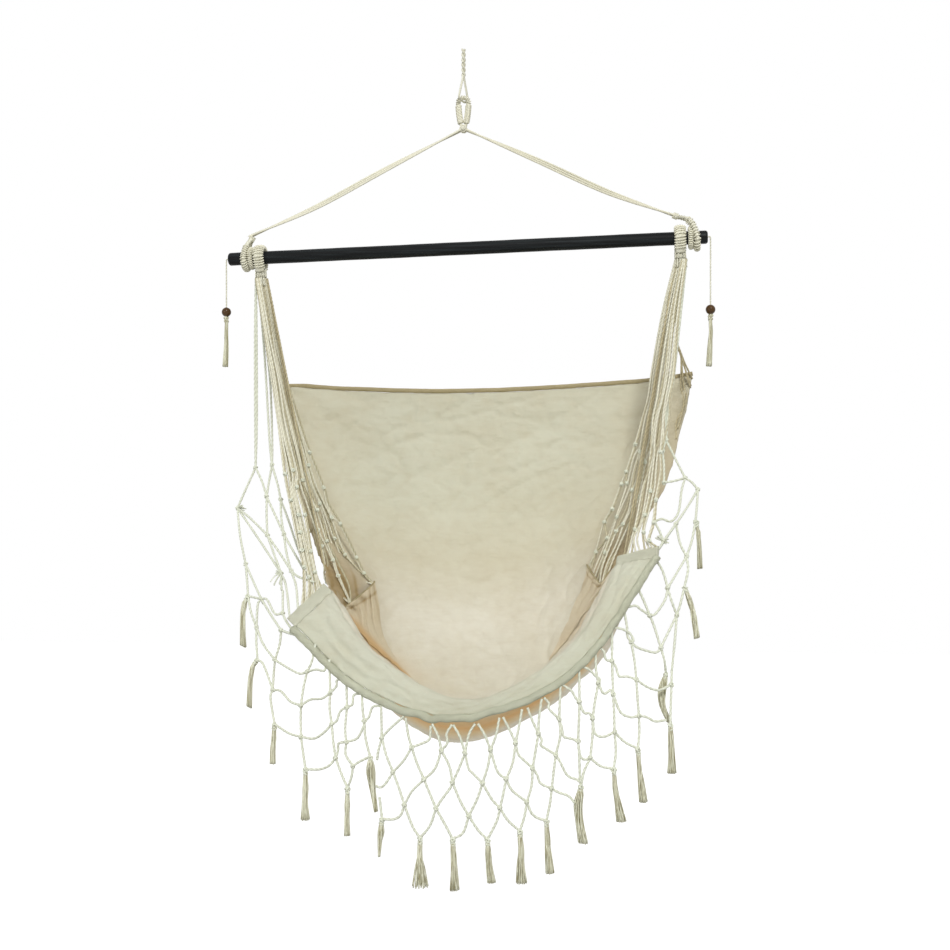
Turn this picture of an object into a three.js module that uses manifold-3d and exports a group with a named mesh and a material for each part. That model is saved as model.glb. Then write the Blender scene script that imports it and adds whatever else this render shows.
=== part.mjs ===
// Hammock chair: a canvas seat with knotted fringe, hung by two cord fans from a wooden bar
// and by a three-cord sling from one hanging cord. Millimetres, +Z up, origin at the hang point,
// +X along the bar, -Y to the front.
import * as THREE from 'three';
import { mergeVertices } from 'three/addons/utils/BufferGeometryUtils.js';
import Module from 'manifold-3d';

const wasm = await Module();
wasm.setup();

// Driving dimensions

const clearance = 0.3;

// Spreader bar
const barLength = 1006;
const barDiameter = 27;
const barDrop = 415;
const barTiltShare = 0.0272;
const barEndRounding = 5;
const barBoreDepth = 12;
const barBoreClearance = 0.5;

// Hanging cord and eye
const hangingCordDiameter = 4.4;
const turningJointDrop = 28;
const cordSplitDrop = 58;
const cordTwistLength = 22;
const strandGap = 0.6;
const eyeTopDrop = 94;
const eyeWidth = 35;
const throatDrop = 166;
const eyeCoreRadius = 3;
const eyeThreadRadius = 1.3;
const eyeTurns = 13;
const throatRadius = 8;
const throatWidth = 17;

// Sling
const slingCordDiameter = 4.6;
const slingCordSpacing = 4.5;
const slingSag = 7;
const hitchCoreRadius = 4.4;
const hitchThreadRadius = 1.6;
const hitchTurns = 8;
const hitchBlockRadius = 7;
const hitchBlockLength = 12;

// Bar loops and necks
const loopHalfWidth = 9.5;
const loopHalfThickness = 3.2;
const loopThreadRadius = 1.7;
const loopTurns = 12;
const loopDrop = 30;
const neckWidth = 28;
const neckThickness = 22;
const neckHeight = 12;

// Canvas
const seatWidth = 956;
const seatReach = 630;
const seatDrop = 1012;
const canvasThickness = 3;
const sleeveWidth = 26;
const sleeveThickness = 9;
const sleeveWall = 2;
const hemDiameter = 10;
const casingDiameter = 15;
const casingWall = 2.2;
const foldDepth = 9;
const ridgeHeight = 8;

// Cords, net and tassels
const netCordDiameter = 4.6;
const netKnotDiameter = 10;
const fringeDrop = 230;
const fringeSpacing = 56;
const fanCordDiameter = 4.4;
const tasselLength = 90;
const tasselRadius = 6.5;

// Pendants
const pendantCordDiameter = 3.4;
const pendantReach = 5.5;
const leftPendantDrop = 102;
const rightPendantDrop = 138;
const beadDiameter = 20;
const pendantTasselLength = 108;
const pendantTasselRadius = 6;

// Materials

function material(color, roughness) {
  return new THREE.MeshStandardMaterial({ color, roughness, metalness: 0, flatShading: true });
}

const cottonCord = material(0xdedeca, 0.9);
const tasselCotton = material(0xc9bf9f, 0.95);
const canvasCloth = material(0xded8c2, 0.92);
const hemCloth = material(0xa5966e, 0.92);
const blackWood = material(0x23292c, 0.35);
const beadWood = material(0x46280f, 0.25);

const group = new THREE.Group();

function addMesh(name, geometry, look) {
  const mesh = new THREE.Mesh(geometry, look);
  mesh.name = name;
  group.add(mesh);
}

// Geometry helpers

function vector(x, y, z) {
  return new THREE.Vector3(x, y, z);
}

function signedVolume(geometry) {
  const points = geometry.attributes.position;
  const order = geometry.index;
  const a = vector(0, 0, 0);
  const b = vector(0, 0, 0);
  const c = vector(0, 0, 0);
  let volume = 0;
  for (let i = 0; i < order.count; i += 3) {
    a.fromBufferAttribute(points, order.getX(i));
    b.fromBufferAttribute(points, order.getX(i + 1));
    c.fromBufferAttribute(points, order.getX(i + 2));
    volume += a.dot(b.cross(c)) / 6;
  }
  return volume;
}

// Joins the shared corners of a geometry and turns its faces outward.
function sealed(geometry) {
  geometry.deleteAttribute('normal');
  geometry.deleteAttribute('uv');
  const joined = mergeVertices(geometry);
  if (signedVolume(joined) < 0) {
    const order = joined.index.array;
    for (let i = 0; i < order.length; i += 3) {
      [order[i], order[i + 1]] = [order[i + 1], order[i]];
    }
  }
  return joined;
}

function toSolid(geometry) {
  const clean = sealed(geometry);
  return new wasm.Manifold(new wasm.Mesh({
    numProp: 3,
    vertProperties: new Float32Array(clean.attributes.position.array),
    triVerts: new Uint32Array(clean.index.array),
  }));
}

function fromSolid(solid) {
  const mesh = solid.getMesh();
  const geometry = new THREE.BufferGeometry();
  geometry.setAttribute('position', new THREE.BufferAttribute(new Float32Array(mesh.vertProperties), 3));
  geometry.setIndex(new THREE.BufferAttribute(new Uint32Array(mesh.triVerts), 1));
  return geometry;
}

function fused(geometries) {
  let solid = toSolid(geometries[0]);
  for (const geometry of geometries.slice(1)) {
    solid = solid.add(toSolid(geometry));
  }
  return fromSolid(solid);
}

// A closed skin through rings of equal counts of points, capped at both ends.
function loft(rings) {
  const sides = rings[0].length;
  const positions = [];
  const order = [];
  for (const ring of rings) {
    for (const point of ring) {
      positions.push(point.x, point.y, point.z);
    }
  }
  for (let i = 0; i + 1 < rings.length; i += 1) {
    for (let j = 0; j < sides; j += 1) {
      const a = i * sides + j;
      const b = i * sides + (j + 1) % sides;
      order.push(a, b, b + sides, a, b + sides, a + sides);
    }
  }
  for (const [index, turn] of [[0, 1], [rings.length - 1, -1]]) {
    const middle = vector(0, 0, 0);
    for (const point of rings[index]) {
      middle.addScaledVector(point, 1 / sides);
    }
    const hub = positions.length / 3;
    positions.push(middle.x, middle.y, middle.z);
    for (let j = 0; j < sides; j += 1) {
      const a = index * sides + j;
      const b = index * sides + (j + 1) % sides;
      order.push(hub, turn > 0 ? b : a, turn > 0 ? a : b);
    }
  }
  const geometry = new THREE.BufferGeometry();
  geometry.setAttribute('position', new THREE.BufferAttribute(new Float32Array(positions), 3));
  geometry.setIndex(order);
  return sealed(geometry);
}

function circleShape(radius, sides) {
  const shape = new THREE.Shape();
  for (let i = 0; i < sides; i += 1) {
    const angle = (i + 0.5) * 2 * Math.PI / sides;
    const x = radius * Math.cos(angle);
    const y = radius * Math.sin(angle);
    if (i === 0) {
      shape.moveTo(x, y);
    } else {
      shape.lineTo(x, y);
    }
  }
  shape.closePath();
  return shape;
}

// A round cord along a smooth curve through the points.
function cord(points, diameter, sides, steps) {
  const curve = new THREE.CatmullRomCurve3(points, false, 'centripetal');
  const geometry = new THREE.ExtrudeGeometry(circleShape(diameter / 2, sides), {
    steps,
    bevelEnabled: false,
    extrudePath: curve,
  });
  return sealed(geometry);
}

// A square cord that runs straight from knot to knot.
function netCord(points, diameter) {
  const half = diameter / 2;
  const rings = points.map((point, i) => {
    const before = points[Math.max(i - 1, 0)];
    const after = points[Math.min(i + 1, points.length - 1)];
    const along = after.clone().sub(before).normalize();
    const side = vector(0, 1, 0).cross(along).normalize();
    const front = along.clone().cross(side);
    return [[1, 0], [0, 1], [-1, 0], [0, -1]].map(([s, t]) => (
      point.clone().addScaledVector(side, s * half).addScaledVector(front, t * half)
    ));
  });
  return loft(rings);
}

function knotBall(centre, diameter) {
  const geometry = new THREE.OctahedronGeometry(diameter / 2);
  geometry.translate(centre.x, centre.y, centre.z);
  return geometry;
}

// Points and sections of a served loop: a flat U path, its core and the thread wound round it.

function pathFrames(points, binormal) {
  const curve = new THREE.CatmullRomCurve3(points, false, 'centripetal');
  return (share) => {
    const centre = curve.getPointAt(share);
    const along = curve.getTangentAt(share);
    const across = along.clone().cross(binormal).normalize();
    return { centre, across, side: across.clone().cross(along) };
  };
}

function sectionPoint(frame, halfWidth, halfThickness, angle) {
  return frame.centre.clone()
    .addScaledVector(frame.side, halfWidth * Math.cos(angle))
    .addScaledVector(frame.across, halfThickness * Math.sin(angle));
}

function loopCore(points, binormal, halfWidth, halfThickness, sides, steps) {
  const frameAt = pathFrames(points, binormal);
  const rings = [];
  for (let i = 0; i <= steps; i += 1) {
    const frame = frameAt(i / steps);
    const ring = [];
    for (let j = 0; j < sides; j += 1) {
      ring.push(sectionPoint(frame, halfWidth, halfThickness, j * 2 * Math.PI / sides));
    }
    rings.push(ring);
  }
  return loft(rings);
}

const windingStats = [];
const windingSteps = 6;
const windingReach = Math.cos(Math.PI / windingSteps);

// One unbroken thread wound round a core, a named clearance clear of it.
function winding(name, points, binormal, halfWidth, halfThickness, threadRadius, turns, startShare, endShare) {
  const lift = clearance + threadRadius;
  const a = (halfWidth + lift) / windingReach;
  const b = (halfThickness + lift) / windingReach;
  const frameAt = pathFrames(points, binormal);
  const count = turns * windingSteps;
  const centres = [];
  const outs = [];
  for (let i = 0; i <= count; i += 1) {
    const frame = frameAt(startShare + (endShare - startShare) * i / count);
    const angle = i * 2 * Math.PI / windingSteps;
    const centre = sectionPoint(frame, a, b, angle);
    centres.push(centre);
    outs.push(centre.clone().sub(frame.centre).normalize());
  }
  const rings = centres.map((centre, i) => {
    const before = centres[Math.max(i - 1, 0)];
    const after = centres[Math.min(i + 1, count)];
    const along = after.clone().sub(before).normalize();
    const out = outs[i].clone().addScaledVector(along, -along.dot(outs[i])).normalize();
    const side = along.clone().cross(out);
    return [[1, 1], [-1, 1], [-1, -1], [1, -1]].map(([s, t]) => (
      centre.clone()
        .addScaledVector(side, s * threadRadius * Math.SQRT1_2)
        .addScaledVector(out, t * threadRadius * Math.SQRT1_2)
    ));
  });
  let least = Infinity;
  for (let i = 0; i <= count; i += 1) {
    for (let j = i + windingSteps / 2; j <= count; j += 1) {
      least = Math.min(least, centres[i].distanceTo(centres[j]) - 2 * threadRadius);
    }
  }
  windingStats.push(`${name} least gap ${least.toFixed(2)} mm`);
  return loft(rings);
}

// Places on the bar

const barTilt = Math.asin(barTiltShare);
const barRadius = barDiameter / 2;
const barAlong = vector(Math.cos(barTilt), 0, Math.sin(barTilt));
const barUp = vector(-Math.sin(barTilt), 0, Math.cos(barTilt));

// A point beside the bar: a share of its half length along it, then millimetres back and up.
function onBar(share, back, up) {
  return vector(0, 0, -barDrop)
    .addScaledVector(barAlong, share * barLength / 2)
    .addScaledVector(vector(0, 1, 0), back)
    .addScaledVector(barUp, up);
}

// Spreader bar: turned, with rounded ends and a blind bore for the pendant cord at each end.
function spreaderBar() {
  const half = barLength / 2;
  const bore = pendantCordDiameter / 2 + barBoreClearance;
  const end = [[0, half - barBoreDepth], [bore, half - barBoreDepth], [bore, half]];
  for (let i = 0; i <= 3; i += 1) {
    const angle = i * Math.PI / 6;
    end.push([
      barRadius - barEndRounding + barEndRounding * Math.sin(angle),
      half - barEndRounding + barEndRounding * Math.cos(angle),
    ]);
  }
  const profile = end.map(([r, y]) => new THREE.Vector2(r, y));
  profile.push(...end.slice().reverse().map(([r, y]) => new THREE.Vector2(r, -y)));
  const geometry = new THREE.LatheGeometry(profile, 20);
  geometry.rotateZ(-Math.PI / 2);
  geometry.rotateY(-barTilt);
  geometry.translate(0, 0, -barDrop);
  return sealed(geometry);
}

// Hanging cord: two strands laid round each other, opening into one bight round the eye.

const strandOrbit = (hangingCordDiameter + strandGap) / 2;
const eyeOuterRadius = (eyeCoreRadius + clearance + eyeThreadRadius) / windingReach
  + eyeThreadRadius;
const eyeArcRadius = eyeWidth / 2 - eyeOuterRadius;
const eyeTubeTop = eyeTopDrop + eyeOuterRadius;
const bightDepth = (eyeOuterRadius + clearance + hangingCordDiameter / 2) * 0.98;
const bightReach = bightDepth * 2.2;
const bightTurn = Math.PI * 0.39;

function hangingCordTop() {
  const rings = [];
  const steps = 8;
  const sides = 16;
  const waist = hangingCordDiameter * 0.3;
  const lobe = hangingCordDiameter / 2;
  for (let i = 0; i <= steps; i += 1) {
    const drop = (turningJointDrop - clearance) * i / steps;
    const turn = drop * 2 * Math.PI / cordTwistLength;
    const ring = [];
    for (let j = 0; j < sides; j += 1) {
      const angle = j * 2 * Math.PI / sides;
      const reach = waist + (strandOrbit + lobe - waist) * Math.cos(angle) ** 2;
      ring.push(vector(reach * Math.cos(angle + turn), reach * Math.sin(angle + turn), -drop));
    }
    rings.push(ring);
  }
  return loft(rings);
}

function hangingCordBight() {
  const laidSteps = 8;
  const down = [];
  for (let i = 0; i <= laidSteps; i += 1) {
    const drop = turningJointDrop + (cordSplitDrop - turningJointDrop) * i / laidSteps;
    const turn = bightTurn - (cordSplitDrop - drop) * 2 * Math.PI / cordTwistLength;
    if (i === 0) {
      const x = strandOrbit * Math.cos(turn);
      const y = strandOrbit * Math.sin(turn);
      down.push(vector(x, y, -turningJointDrop));
      down.push(vector(x, y, -turningJointDrop - hangingCordDiameter / 2));
    } else {
      down.push(vector(strandOrbit * Math.cos(turn), strandOrbit * Math.sin(turn), -drop));
    }
  }
  const legTop = (cordSplitDrop + eyeTubeTop) / 2;
  const mid = (strandOrbit + bightReach) / 2;
  down.push(vector(mid * Math.cos(bightTurn), mid * Math.sin(bightTurn), -legTop));
  const bight = [];
  for (let i = 0; i <= 6; i += 1) {
    const angle = i * Math.PI / 6;
    const reach = bightReach * Math.cos(angle);
    bight.push(vector(
      reach * Math.cos(bightTurn),
      reach * Math.sin(bightTurn),
      -eyeTubeTop - bightDepth * Math.sin(angle),
    ));
  }
  const up = down.map((point) => vector(-point.x, -point.y, point.z)).reverse();
  return cord([...down, ...bight, ...up], hangingCordDiameter, 8, 44);
}

// Eye: a served loop that stands in the plane of the bar, with a round throat below it.

function eyePath() {
  const centre = eyeTubeTop + eyeArcRadius;
  const legWidth = throatRadius - eyeCoreRadius;
  const points = [vector(-legWidth * 0.7, 0, -throatDrop)];
  points.push(vector(-eyeArcRadius * 0.78, 0, -(throatDrop + centre) / 2));
  for (let i = 0; i <= 6; i += 1) {
    const angle = Math.PI - i * Math.PI / 6;
    points.push(vector(
      eyeArcRadius * Math.cos(angle),
      0,
      -centre + eyeArcRadius * Math.sin(angle),
    ));
  }
  points.push(vector(eyeArcRadius * 0.78, 0, -(throatDrop + centre) / 2));
  points.push(vector(legWidth * 0.7, 0, -throatDrop));
  return points;
}

function buildEye() {
  const binormal = vector(0, 1, 0);
  const path = eyePath();
  const throat = new THREE.CylinderGeometry(throatRadius, throatRadius, throatWidth, 16);
  throat.translate(0, 0, -throatDrop);
  const core = loopCore(path, binormal, eyeCoreRadius, eyeCoreRadius, 8, 22);
  addMesh('eye_core', fused([core, throat]), cottonCord);
  const serving = winding('eye_serving', path, binormal, eyeCoreRadius, eyeCoreRadius,
    eyeThreadRadius, eyeTurns, 0.16, 0.84);
  addMesh('eye_serving', serving, cottonCord);
}

// Sling hitches: served loops round the bar, drawn towards the sling cords.

const hitches = {
  left: { barShare: -0.925, neckShares: [0.5, 1.5], kneeShares: [0.18, 0.95] },
  right: { barShare: 0.956, neckShares: [-1.55, 1.7], kneeShares: [-0.48, 1.25] },
};

// A point beside a hitch, in bar diameters along and above the bar.
function nearHitch(side, shares) {
  return onBar(hitches[side].barShare, 0, shares[1] * barDiameter)
    .addScaledVector(barAlong, shares[0] * barDiameter);
}

function buildHitch(side) {
  const neck = nearHitch(side, hitches[side].neckShares);
  const knee = nearHitch(side, hitches[side].kneeShares);
  const away = neck.clone().sub(knee).normalize();
  const back = vector(0, 1, 0);
  const radius = barRadius + hitchCoreRadius + 2 * hitchThreadRadius + 2 * clearance;
  const legGap = hitchBlockRadius / 3;
  const front = [
    neck.clone().addScaledVector(back, -legGap),
    knee.clone().addScaledVector(back, -(legGap + radius) / 2),
  ];
  const round = [];
  for (let i = 0; i <= 6; i += 1) {
    const angle = i * Math.PI / 6;
    round.push(onBar(hitches[side].barShare, -radius * Math.cos(angle), -radius * Math.sin(angle)));
  }
  const rear = front.map((point) => vector(point.x, -point.y, point.z)).reverse();
  const points = [...front, ...round, ...rear];
  const core = loopCore(points, barAlong, hitchCoreRadius, hitchCoreRadius, 8, 22);
  const block = new THREE.CylinderGeometry(hitchBlockRadius, hitchBlockRadius, hitchBlockLength, 12);
  block.applyQuaternion(new THREE.Quaternion().setFromUnitVectors(back, away));
  block.translate(neck.x, neck.y, neck.z);
  addMesh(`${side}_hitch`, fused([core, block]), cottonCord);
  const serving = winding(`${side}_hitch_serving`, points, barAlong, hitchCoreRadius,
    hitchCoreRadius, hitchThreadRadius, hitchTurns, 0.22, 0.78);
  addMesh(`${side}_hitch_serving`, serving, cottonCord);
}

// Sling: three cords a side, face to face with the throat and the hitch block.

function buildSling(side) {
  const throat = vector(0, 0, -throatDrop);
  const neck = nearHitch(side, hitches[side].neckShares);
  const back = vector(0, 1, 0);
  const run = neck.clone().sub(throat).normalize();
  const away = neck.clone().sub(nearHitch(side, hitches[side].kneeShares)).normalize();
  const lift = run.clone().cross(back).normalize();
  if (lift.z < 0) {
    lift.negate();
  }
  for (let i = 0; i < 3; i += 1) {
    const rank = i - 1;
    const pitch = slingCordDiameter + clearance;
    const start = throat.clone()
      .addScaledVector(run, throatRadius + clearance)
      .addScaledVector(back, rank * pitch);
    const straight = start.clone().addScaledVector(run, slingCordDiameter);
    const end = neck.clone()
      .addScaledVector(away, hitchBlockLength / 2 + clearance)
      .addScaledVector(back, rank * hitchBlockRadius / 2 * 1.42);
    const lead = end.clone().addScaledVector(away, slingCordDiameter);
    const points = [start, straight];
    for (const [share, sagShare] of [[0.35, 0.3], [0.7, 1]]) {
      const place = straight.clone().lerp(lead, share);
      points.push(place.addScaledVector(lift, rank * slingCordSpacing - sagShare * slingSag));
    }
    points.push(lead, end);
    addMesh(`${side}_sling_cord_${i + 1}`, cord(points, slingCordDiameter, 8, 12), cottonCord);
  }
}

// Bar loops: flat served loops over the bar, closing in a neck below it.

const loopShares = { left: -0.863, right: 0.889 };

function buildBarLoop(side) {
  const share = loopShares[side];
  const outer = (loopHalfThickness + clearance + loopThreadRadius) / windingReach
    + loopThreadRadius;
  const radius = barRadius + clearance + outer;
  const legGap = neckThickness / 2 - loopHalfThickness;
  const binormal = barAlong.clone();
  const points = [onBar(share, -legGap, -loopDrop)];
  for (let i = 0; i <= 6; i += 1) {
    const angle = -Math.PI / 2 + i * Math.PI / 6;
    points.push(onBar(share, radius * Math.sin(angle), radius * Math.cos(angle)));
  }
  points.push(onBar(share, legGap, -loopDrop));
  const core = loopCore(points, binormal, loopHalfWidth, loopHalfThickness, 10, 16);
  const neck = new THREE.CylinderGeometry(1, 1, neckHeight, 14);
  neck.scale(neckWidth / 2, 1, neckThickness / 2);
  neck.rotateX(Math.PI / 2);
  neck.rotateY(-barTilt);
  const place = onBar(share, 0, -loopDrop - neckHeight / 2);
  neck.translate(place.x, place.y, place.z);
  addMesh(`${side}_bar_loop`, fused([core, neck]), cottonCord);
  const serving = winding(`${side}_bar_loop_serving`, points, binormal, loopHalfWidth,
    loopHalfThickness, loopThreadRadius, loopTurns, 0.08, 0.92);
  addMesh(`${side}_bar_loop_serving`, serving, cottonCord);
}

// Canvas: rows from the back hem to the front edge, each from its left end to its right end.
// Shares of half the seat's width, of its reach and of its drop below the bar's middle.

const canvasShares = [
  [[-0.917, 0.397, 0.267], [-0.423, 0.405, 0.28], [0.008, 0.408, 0.283], [0.509, 0.405, 0.272], [1, 0.397, 0.25]],
  [[-0.866, 0.302, 0.371], [-0.436, 0.36, 0.422], [0.014, 0.373, 0.433], [0.493, 0.36, 0.412], [0.951, 0.302, 0.359]],
  [[-0.769, 0.151, 0.52], [-0.403, 0.286, 0.576], [0.023, 0.313, 0.591], [0.461, 0.286, 0.559], [0.859, 0.151, 0.498]],
  [[-0.622, -0.024, 0.643], [-0.336, 0.159, 0.723], [0.031, 0.206, 0.748], [0.416, 0.159, 0.692], [0.722, -0.024, 0.594]],
  [[-0.558, -0.119, 0.696], [-0.339, -0.016, 0.853], [0.042, 0.024, 0.903], [0.422, -0.016, 0.827], [0.691, -0.119, 0.639]],
  [[-0.601, -0.151, 0.719], [-0.36, -0.175, 0.928], [0.035, -0.167, 0.997], [0.552, -0.175, 0.861], [0.733, -0.151, 0.663]],
  [[-0.546, -0.23, 0.708], [-0.313, -0.357, 0.86], [0.092, -0.405, 0.931], [0.518, -0.357, 0.819], [0.694, -0.23, 0.65]],
  [[-0.497, -0.31, 0.694], [-0.26, -0.468, 0.797], [0.12, -0.548, 0.87], [0.472, -0.468, 0.783], [0.656, -0.31, 0.639]],
  [[-0.633, -0.357, 0.756], [-0.302, -0.524, 0.873], [0.098, -0.603, 0.917], [0.507, -0.524, 0.831], [0.819, -0.357, 0.62]],
];

function place(shares) {
  return vector(
    shares[0] * seatWidth / 2,
    shares[1] * seatReach,
    -barDrop - shares[2] * seatDrop,
  );
}

const canvasColumns = [0, 1, 2, 3, 4].map((column) => (
  new THREE.CatmullRomCurve3(canvasShares.map((row) => place(row[column])), false, 'catmullrom', 0.5)
));

// A point of the canvas: across runs 0 to 1 from left to right, down runs 0 to 1 from hem to front.
function onCanvas(across, down) {
  const row = new THREE.CatmullRomCurve3(
    canvasColumns.map((column) => column.getPoint(down)), false, 'catmullrom', 0.5);
  return row.getPoint(across);
}

function canvasNormal(across, down) {
  const step = 0.01;
  const a0 = Math.max(across - step, 0);
  const a1 = Math.min(across + step, 1);
  const d0 = Math.max(down - step, 0);
  const d1 = Math.min(down + step, 1);
  const side = onCanvas(a1, down).sub(onCanvas(a0, down));
  const run = onCanvas(across, d1).sub(onCanvas(across, d0));
  return side.cross(run).normalize();
}

function bump(value, middle, width) {
  return Math.exp(-(((value - middle) / width) ** 2));
}

// Height of the gathered folds at the sides and of the taut ridge inside the front edge.
function foldHeight(across, down) {
  const side = Math.abs(2 * across - 1);
  const gather = Math.max(0, (side - 0.35) / 0.65);
  const folds = foldDepth * gather * (1 - gather * 0.55)
    * Math.cos(down * 2 * Math.PI * 6.5) * bump(down, 0.55, 0.17);
  const taut = Math.min(1, side * 1.6 + 0.2) * (1 - bump(side, 1, 0.12));
  const ridge = ridgeHeight * taut * (bump(down, 0.875, 0.03) - 1.4 * bump(down, 0.8, 0.05));
  return folds + ridge;
}

const acrossCount = 21;
const downShares = [
  0, 0.08, 0.16, 0.24, 0.32, 0.38, 0.43, 0.48, 0.53, 0.58, 0.63, 0.68, 0.73, 0.78, 0.83, 0.875,
  0.92, 0.96, 1,
];

function canvasPoint(across, down, lift) {
  const height = foldHeight(across, down) + lift;
  return onCanvas(across, down).addScaledVector(canvasNormal(across, down), height);
}

function seatPanel() {
  const rows = downShares.length;
  const columns = acrossCount + 1;
  const positions = [];
  const order = [];
  for (const lift of [-canvasThickness / 2, canvasThickness / 2]) {
    for (const down of downShares) {
      for (let j = 0; j < columns; j += 1) {
        const point = canvasPoint(j / acrossCount, down, lift);
        positions.push(point.x, point.y, point.z);
      }
    }
  }
  const upper = rows * columns;
  const corner = (i, j) => i * columns + j;
  for (let i = 0; i + 1 < rows; i += 1) {
    for (let j = 0; j + 1 < columns; j += 1) {
      const a = corner(i, j);
      const b = corner(i, j + 1);
      const c = corner(i + 1, j + 1);
      const d = corner(i + 1, j);
      order.push(a, b, c, a, c, d);
      order.push(upper + a, upper + c, upper + b, upper + a, upper + d, upper + c);
    }
  }
  const rim = [];
  for (let j = 0; j + 1 < columns; j += 1) {
    rim.push(corner(0, j));
  }
  for (let i = 0; i + 1 < rows; i += 1) {
    rim.push(corner(i, columns - 1));
  }
  for (let j = columns - 1; j > 0; j -= 1) {
    rim.push(corner(rows - 1, j));
  }
  for (let i = rows - 1; i > 0; i -= 1) {
    rim.push(corner(i, 0));
  }
  rim.forEach((a, k) => {
    const b = rim[(k + 1) % rim.length];
    order.push(b, a, upper + a, b, upper + a, upper + b);
  });
  const geometry = new THREE.BufferGeometry();
  geometry.setAttribute('position', new THREE.BufferAttribute(new Float32Array(positions), 3));
  geometry.setIndex(order);
  return sealed(geometry);
}

// A line along an end row of the canvas, a set distance beyond its edge.
function edgeLine(down, inner, distance, count) {
  const points = [];
  for (let j = 0; j <= count; j += 1) {
    const across = j / count;
    const edge = canvasPoint(across, down, 0);
    const away = edge.clone().sub(canvasPoint(across, inner, 0)).normalize();
    points.push(edge.addScaledVector(away, distance));
  }
  return points;
}

function backHem() {
  const line = edgeLine(0, 0.02, hemDiameter / 2 + 2 * clearance, 12);
  return cord(line, hemDiameter, 8, 24);
}

const casingLine = edgeLine(1, 0.98, casingDiameter / 2 + 2.5 * clearance, acrossCount);
const ridgeShare = 0.875;

// Two ends of the sleeve that closes one end of the front band and takes the cords.
function sleeveEnds(side) {
  const edge = side === 'left' ? 0 : 1;
  const inner = side === 'left' ? 0.03 : 0.97;
  return [ridgeShare, 1].map((down) => {
    const point = canvasPoint(edge, down, 0);
    const away = point.clone().sub(canvasPoint(inner, down, 0)).normalize();
    return point.addScaledVector(away, sleeveWidth / 2 + 5 * clearance);
  });
}

function ovalShape(width, height, sides) {
  const points = [];
  for (let i = 0; i < sides; i += 1) {
    const angle = (i + 0.5) * 2 * Math.PI / sides;
    points.push(new THREE.Vector2(width / 2 * Math.cos(angle), height / 2 * Math.sin(angle)));
  }
  return points;
}

// Band sleeve: a flat cloth tube across the end of the front band.
function bandSleeve(side) {
  const [start, end] = sleeveEnds(side);
  const edge = side === 'left' ? 0 : 1;
  const normal = canvasNormal(edge, (ridgeShare + 1) / 2);
  const along = end.clone().sub(start).normalize();
  const across = along.clone().cross(normal).normalize();
  const face = across.clone().cross(along);
  const outer = ovalShape(sleeveWidth, sleeveThickness, 12);
  const inner = ovalShape(sleeveWidth - 2 * sleeveWall, sleeveThickness - 2 * sleeveWall, 12);
  const shape = new THREE.Shape(outer);
  shape.holes.push(new THREE.Path(inner));
  const geometry = new THREE.ExtrudeGeometry(shape, {
    depth: start.distanceTo(end) - casingDiameter / 2,
    bevelEnabled: false,
  });
  const frame = new THREE.Matrix4().makeBasis(across, face, along);
  frame.setPosition(start.clone().addScaledVector(along, clearance));
  geometry.applyMatrix4(frame);
  return sealed(geometry);
}

function casingRings(radius, overrun) {
  return casingLine.map((centre, j) => {
    const across = j / acrossCount;
    const normal = canvasNormal(across, 1);
    const before = casingLine[Math.max(j - 1, 0)];
    const after = casingLine[Math.min(j + 1, acrossCount)];
    const along = after.clone().sub(before).normalize();
    const away = normal.clone().cross(along).normalize();
    const face = along.clone().cross(away);
    const middle = centre.clone();
    if (j === 0) {
      middle.addScaledVector(along, -overrun);
    } else if (j === acrossCount) {
      middle.addScaledVector(along, overrun);
    }
    const ring = [];
    for (let k = 0; k < 8; k += 1) {
      const angle = (k + 0.5) * Math.PI / 4;
      ring.push(middle.clone()
        .addScaledVector(away, radius * Math.cos(angle))
        .addScaledVector(face, radius * Math.sin(angle)));
    }
    return ring;
  });
}

// Front casing: a cloth tube, open at both ends.
function frontCasing() {
  const outside = toSolid(loft(casingRings(casingDiameter / 2, 0)));
  const inside = toSolid(loft(casingRings(casingDiameter / 2 - casingWall, casingWall)));
  return fromSolid(outside.subtract(inside));
}

// Fringe net: diamonds between the casing and the tassels, laid out flat and then bent to place.

const fringeColumns = 18;
const fringeRowShares = [0, 0.2, 0.47, 0.74, 1];
const fringeFootShares = [
  [-0.896, -0.183, 0.708], [-0.817, -0.278, 0.827], [-0.706, -0.389, 0.944], [-0.549, -0.476, 1.018],
  [-0.397, -0.524, 1.045], [-0.287, -0.548, 1.022], [-0.196, -0.567, 1.099], [-0.068, -0.587, 1.123],
  [0.063, -0.598, 1.123], [0.193, -0.598, 1.121], [0.318, -0.587, 1.103], [0.417, -0.567, 1.087],
  [0.547, -0.548, 1.025], [0.667, -0.524, 0.996], [0.758, -0.492, 0.962], [0.869, -0.444, 0.908],
  [0.909, -0.389, 0.8], [0.95, -0.325, 0.686], [0.989, -0.23, 0.559],
];

const footCurve = new THREE.CatmullRomCurve3(fringeFootShares.map(place), false, 'catmullrom', 0.5);
const casingCurve = new THREE.CatmullRomCurve3(casingLine, false, 'centripetal');

// A point of the fringe: column 0 to 18 along the casing, fall 0 to 1 from casing to tassels.
function onFringe(column, fall) {
  const share = Math.min(Math.max(column / fringeColumns, 0), 1);
  const insetShare = 0.015;
  const head = casingCurve.getPointAt(insetShare + (1 - 2 * insetShare) * share);
  const foot = footCurve.getPoint(share);
  const along = casingCurve.getTangentAt(insetShare + (1 - 2 * insetShare) * share);
  const away = foot.clone().sub(head);
  away.addScaledVector(along, -away.dot(along)).normalize();
  head.addScaledVector(away, casingDiameter / 2 + 2 * clearance);
  return head.lerp(foot, fall);
}

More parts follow.
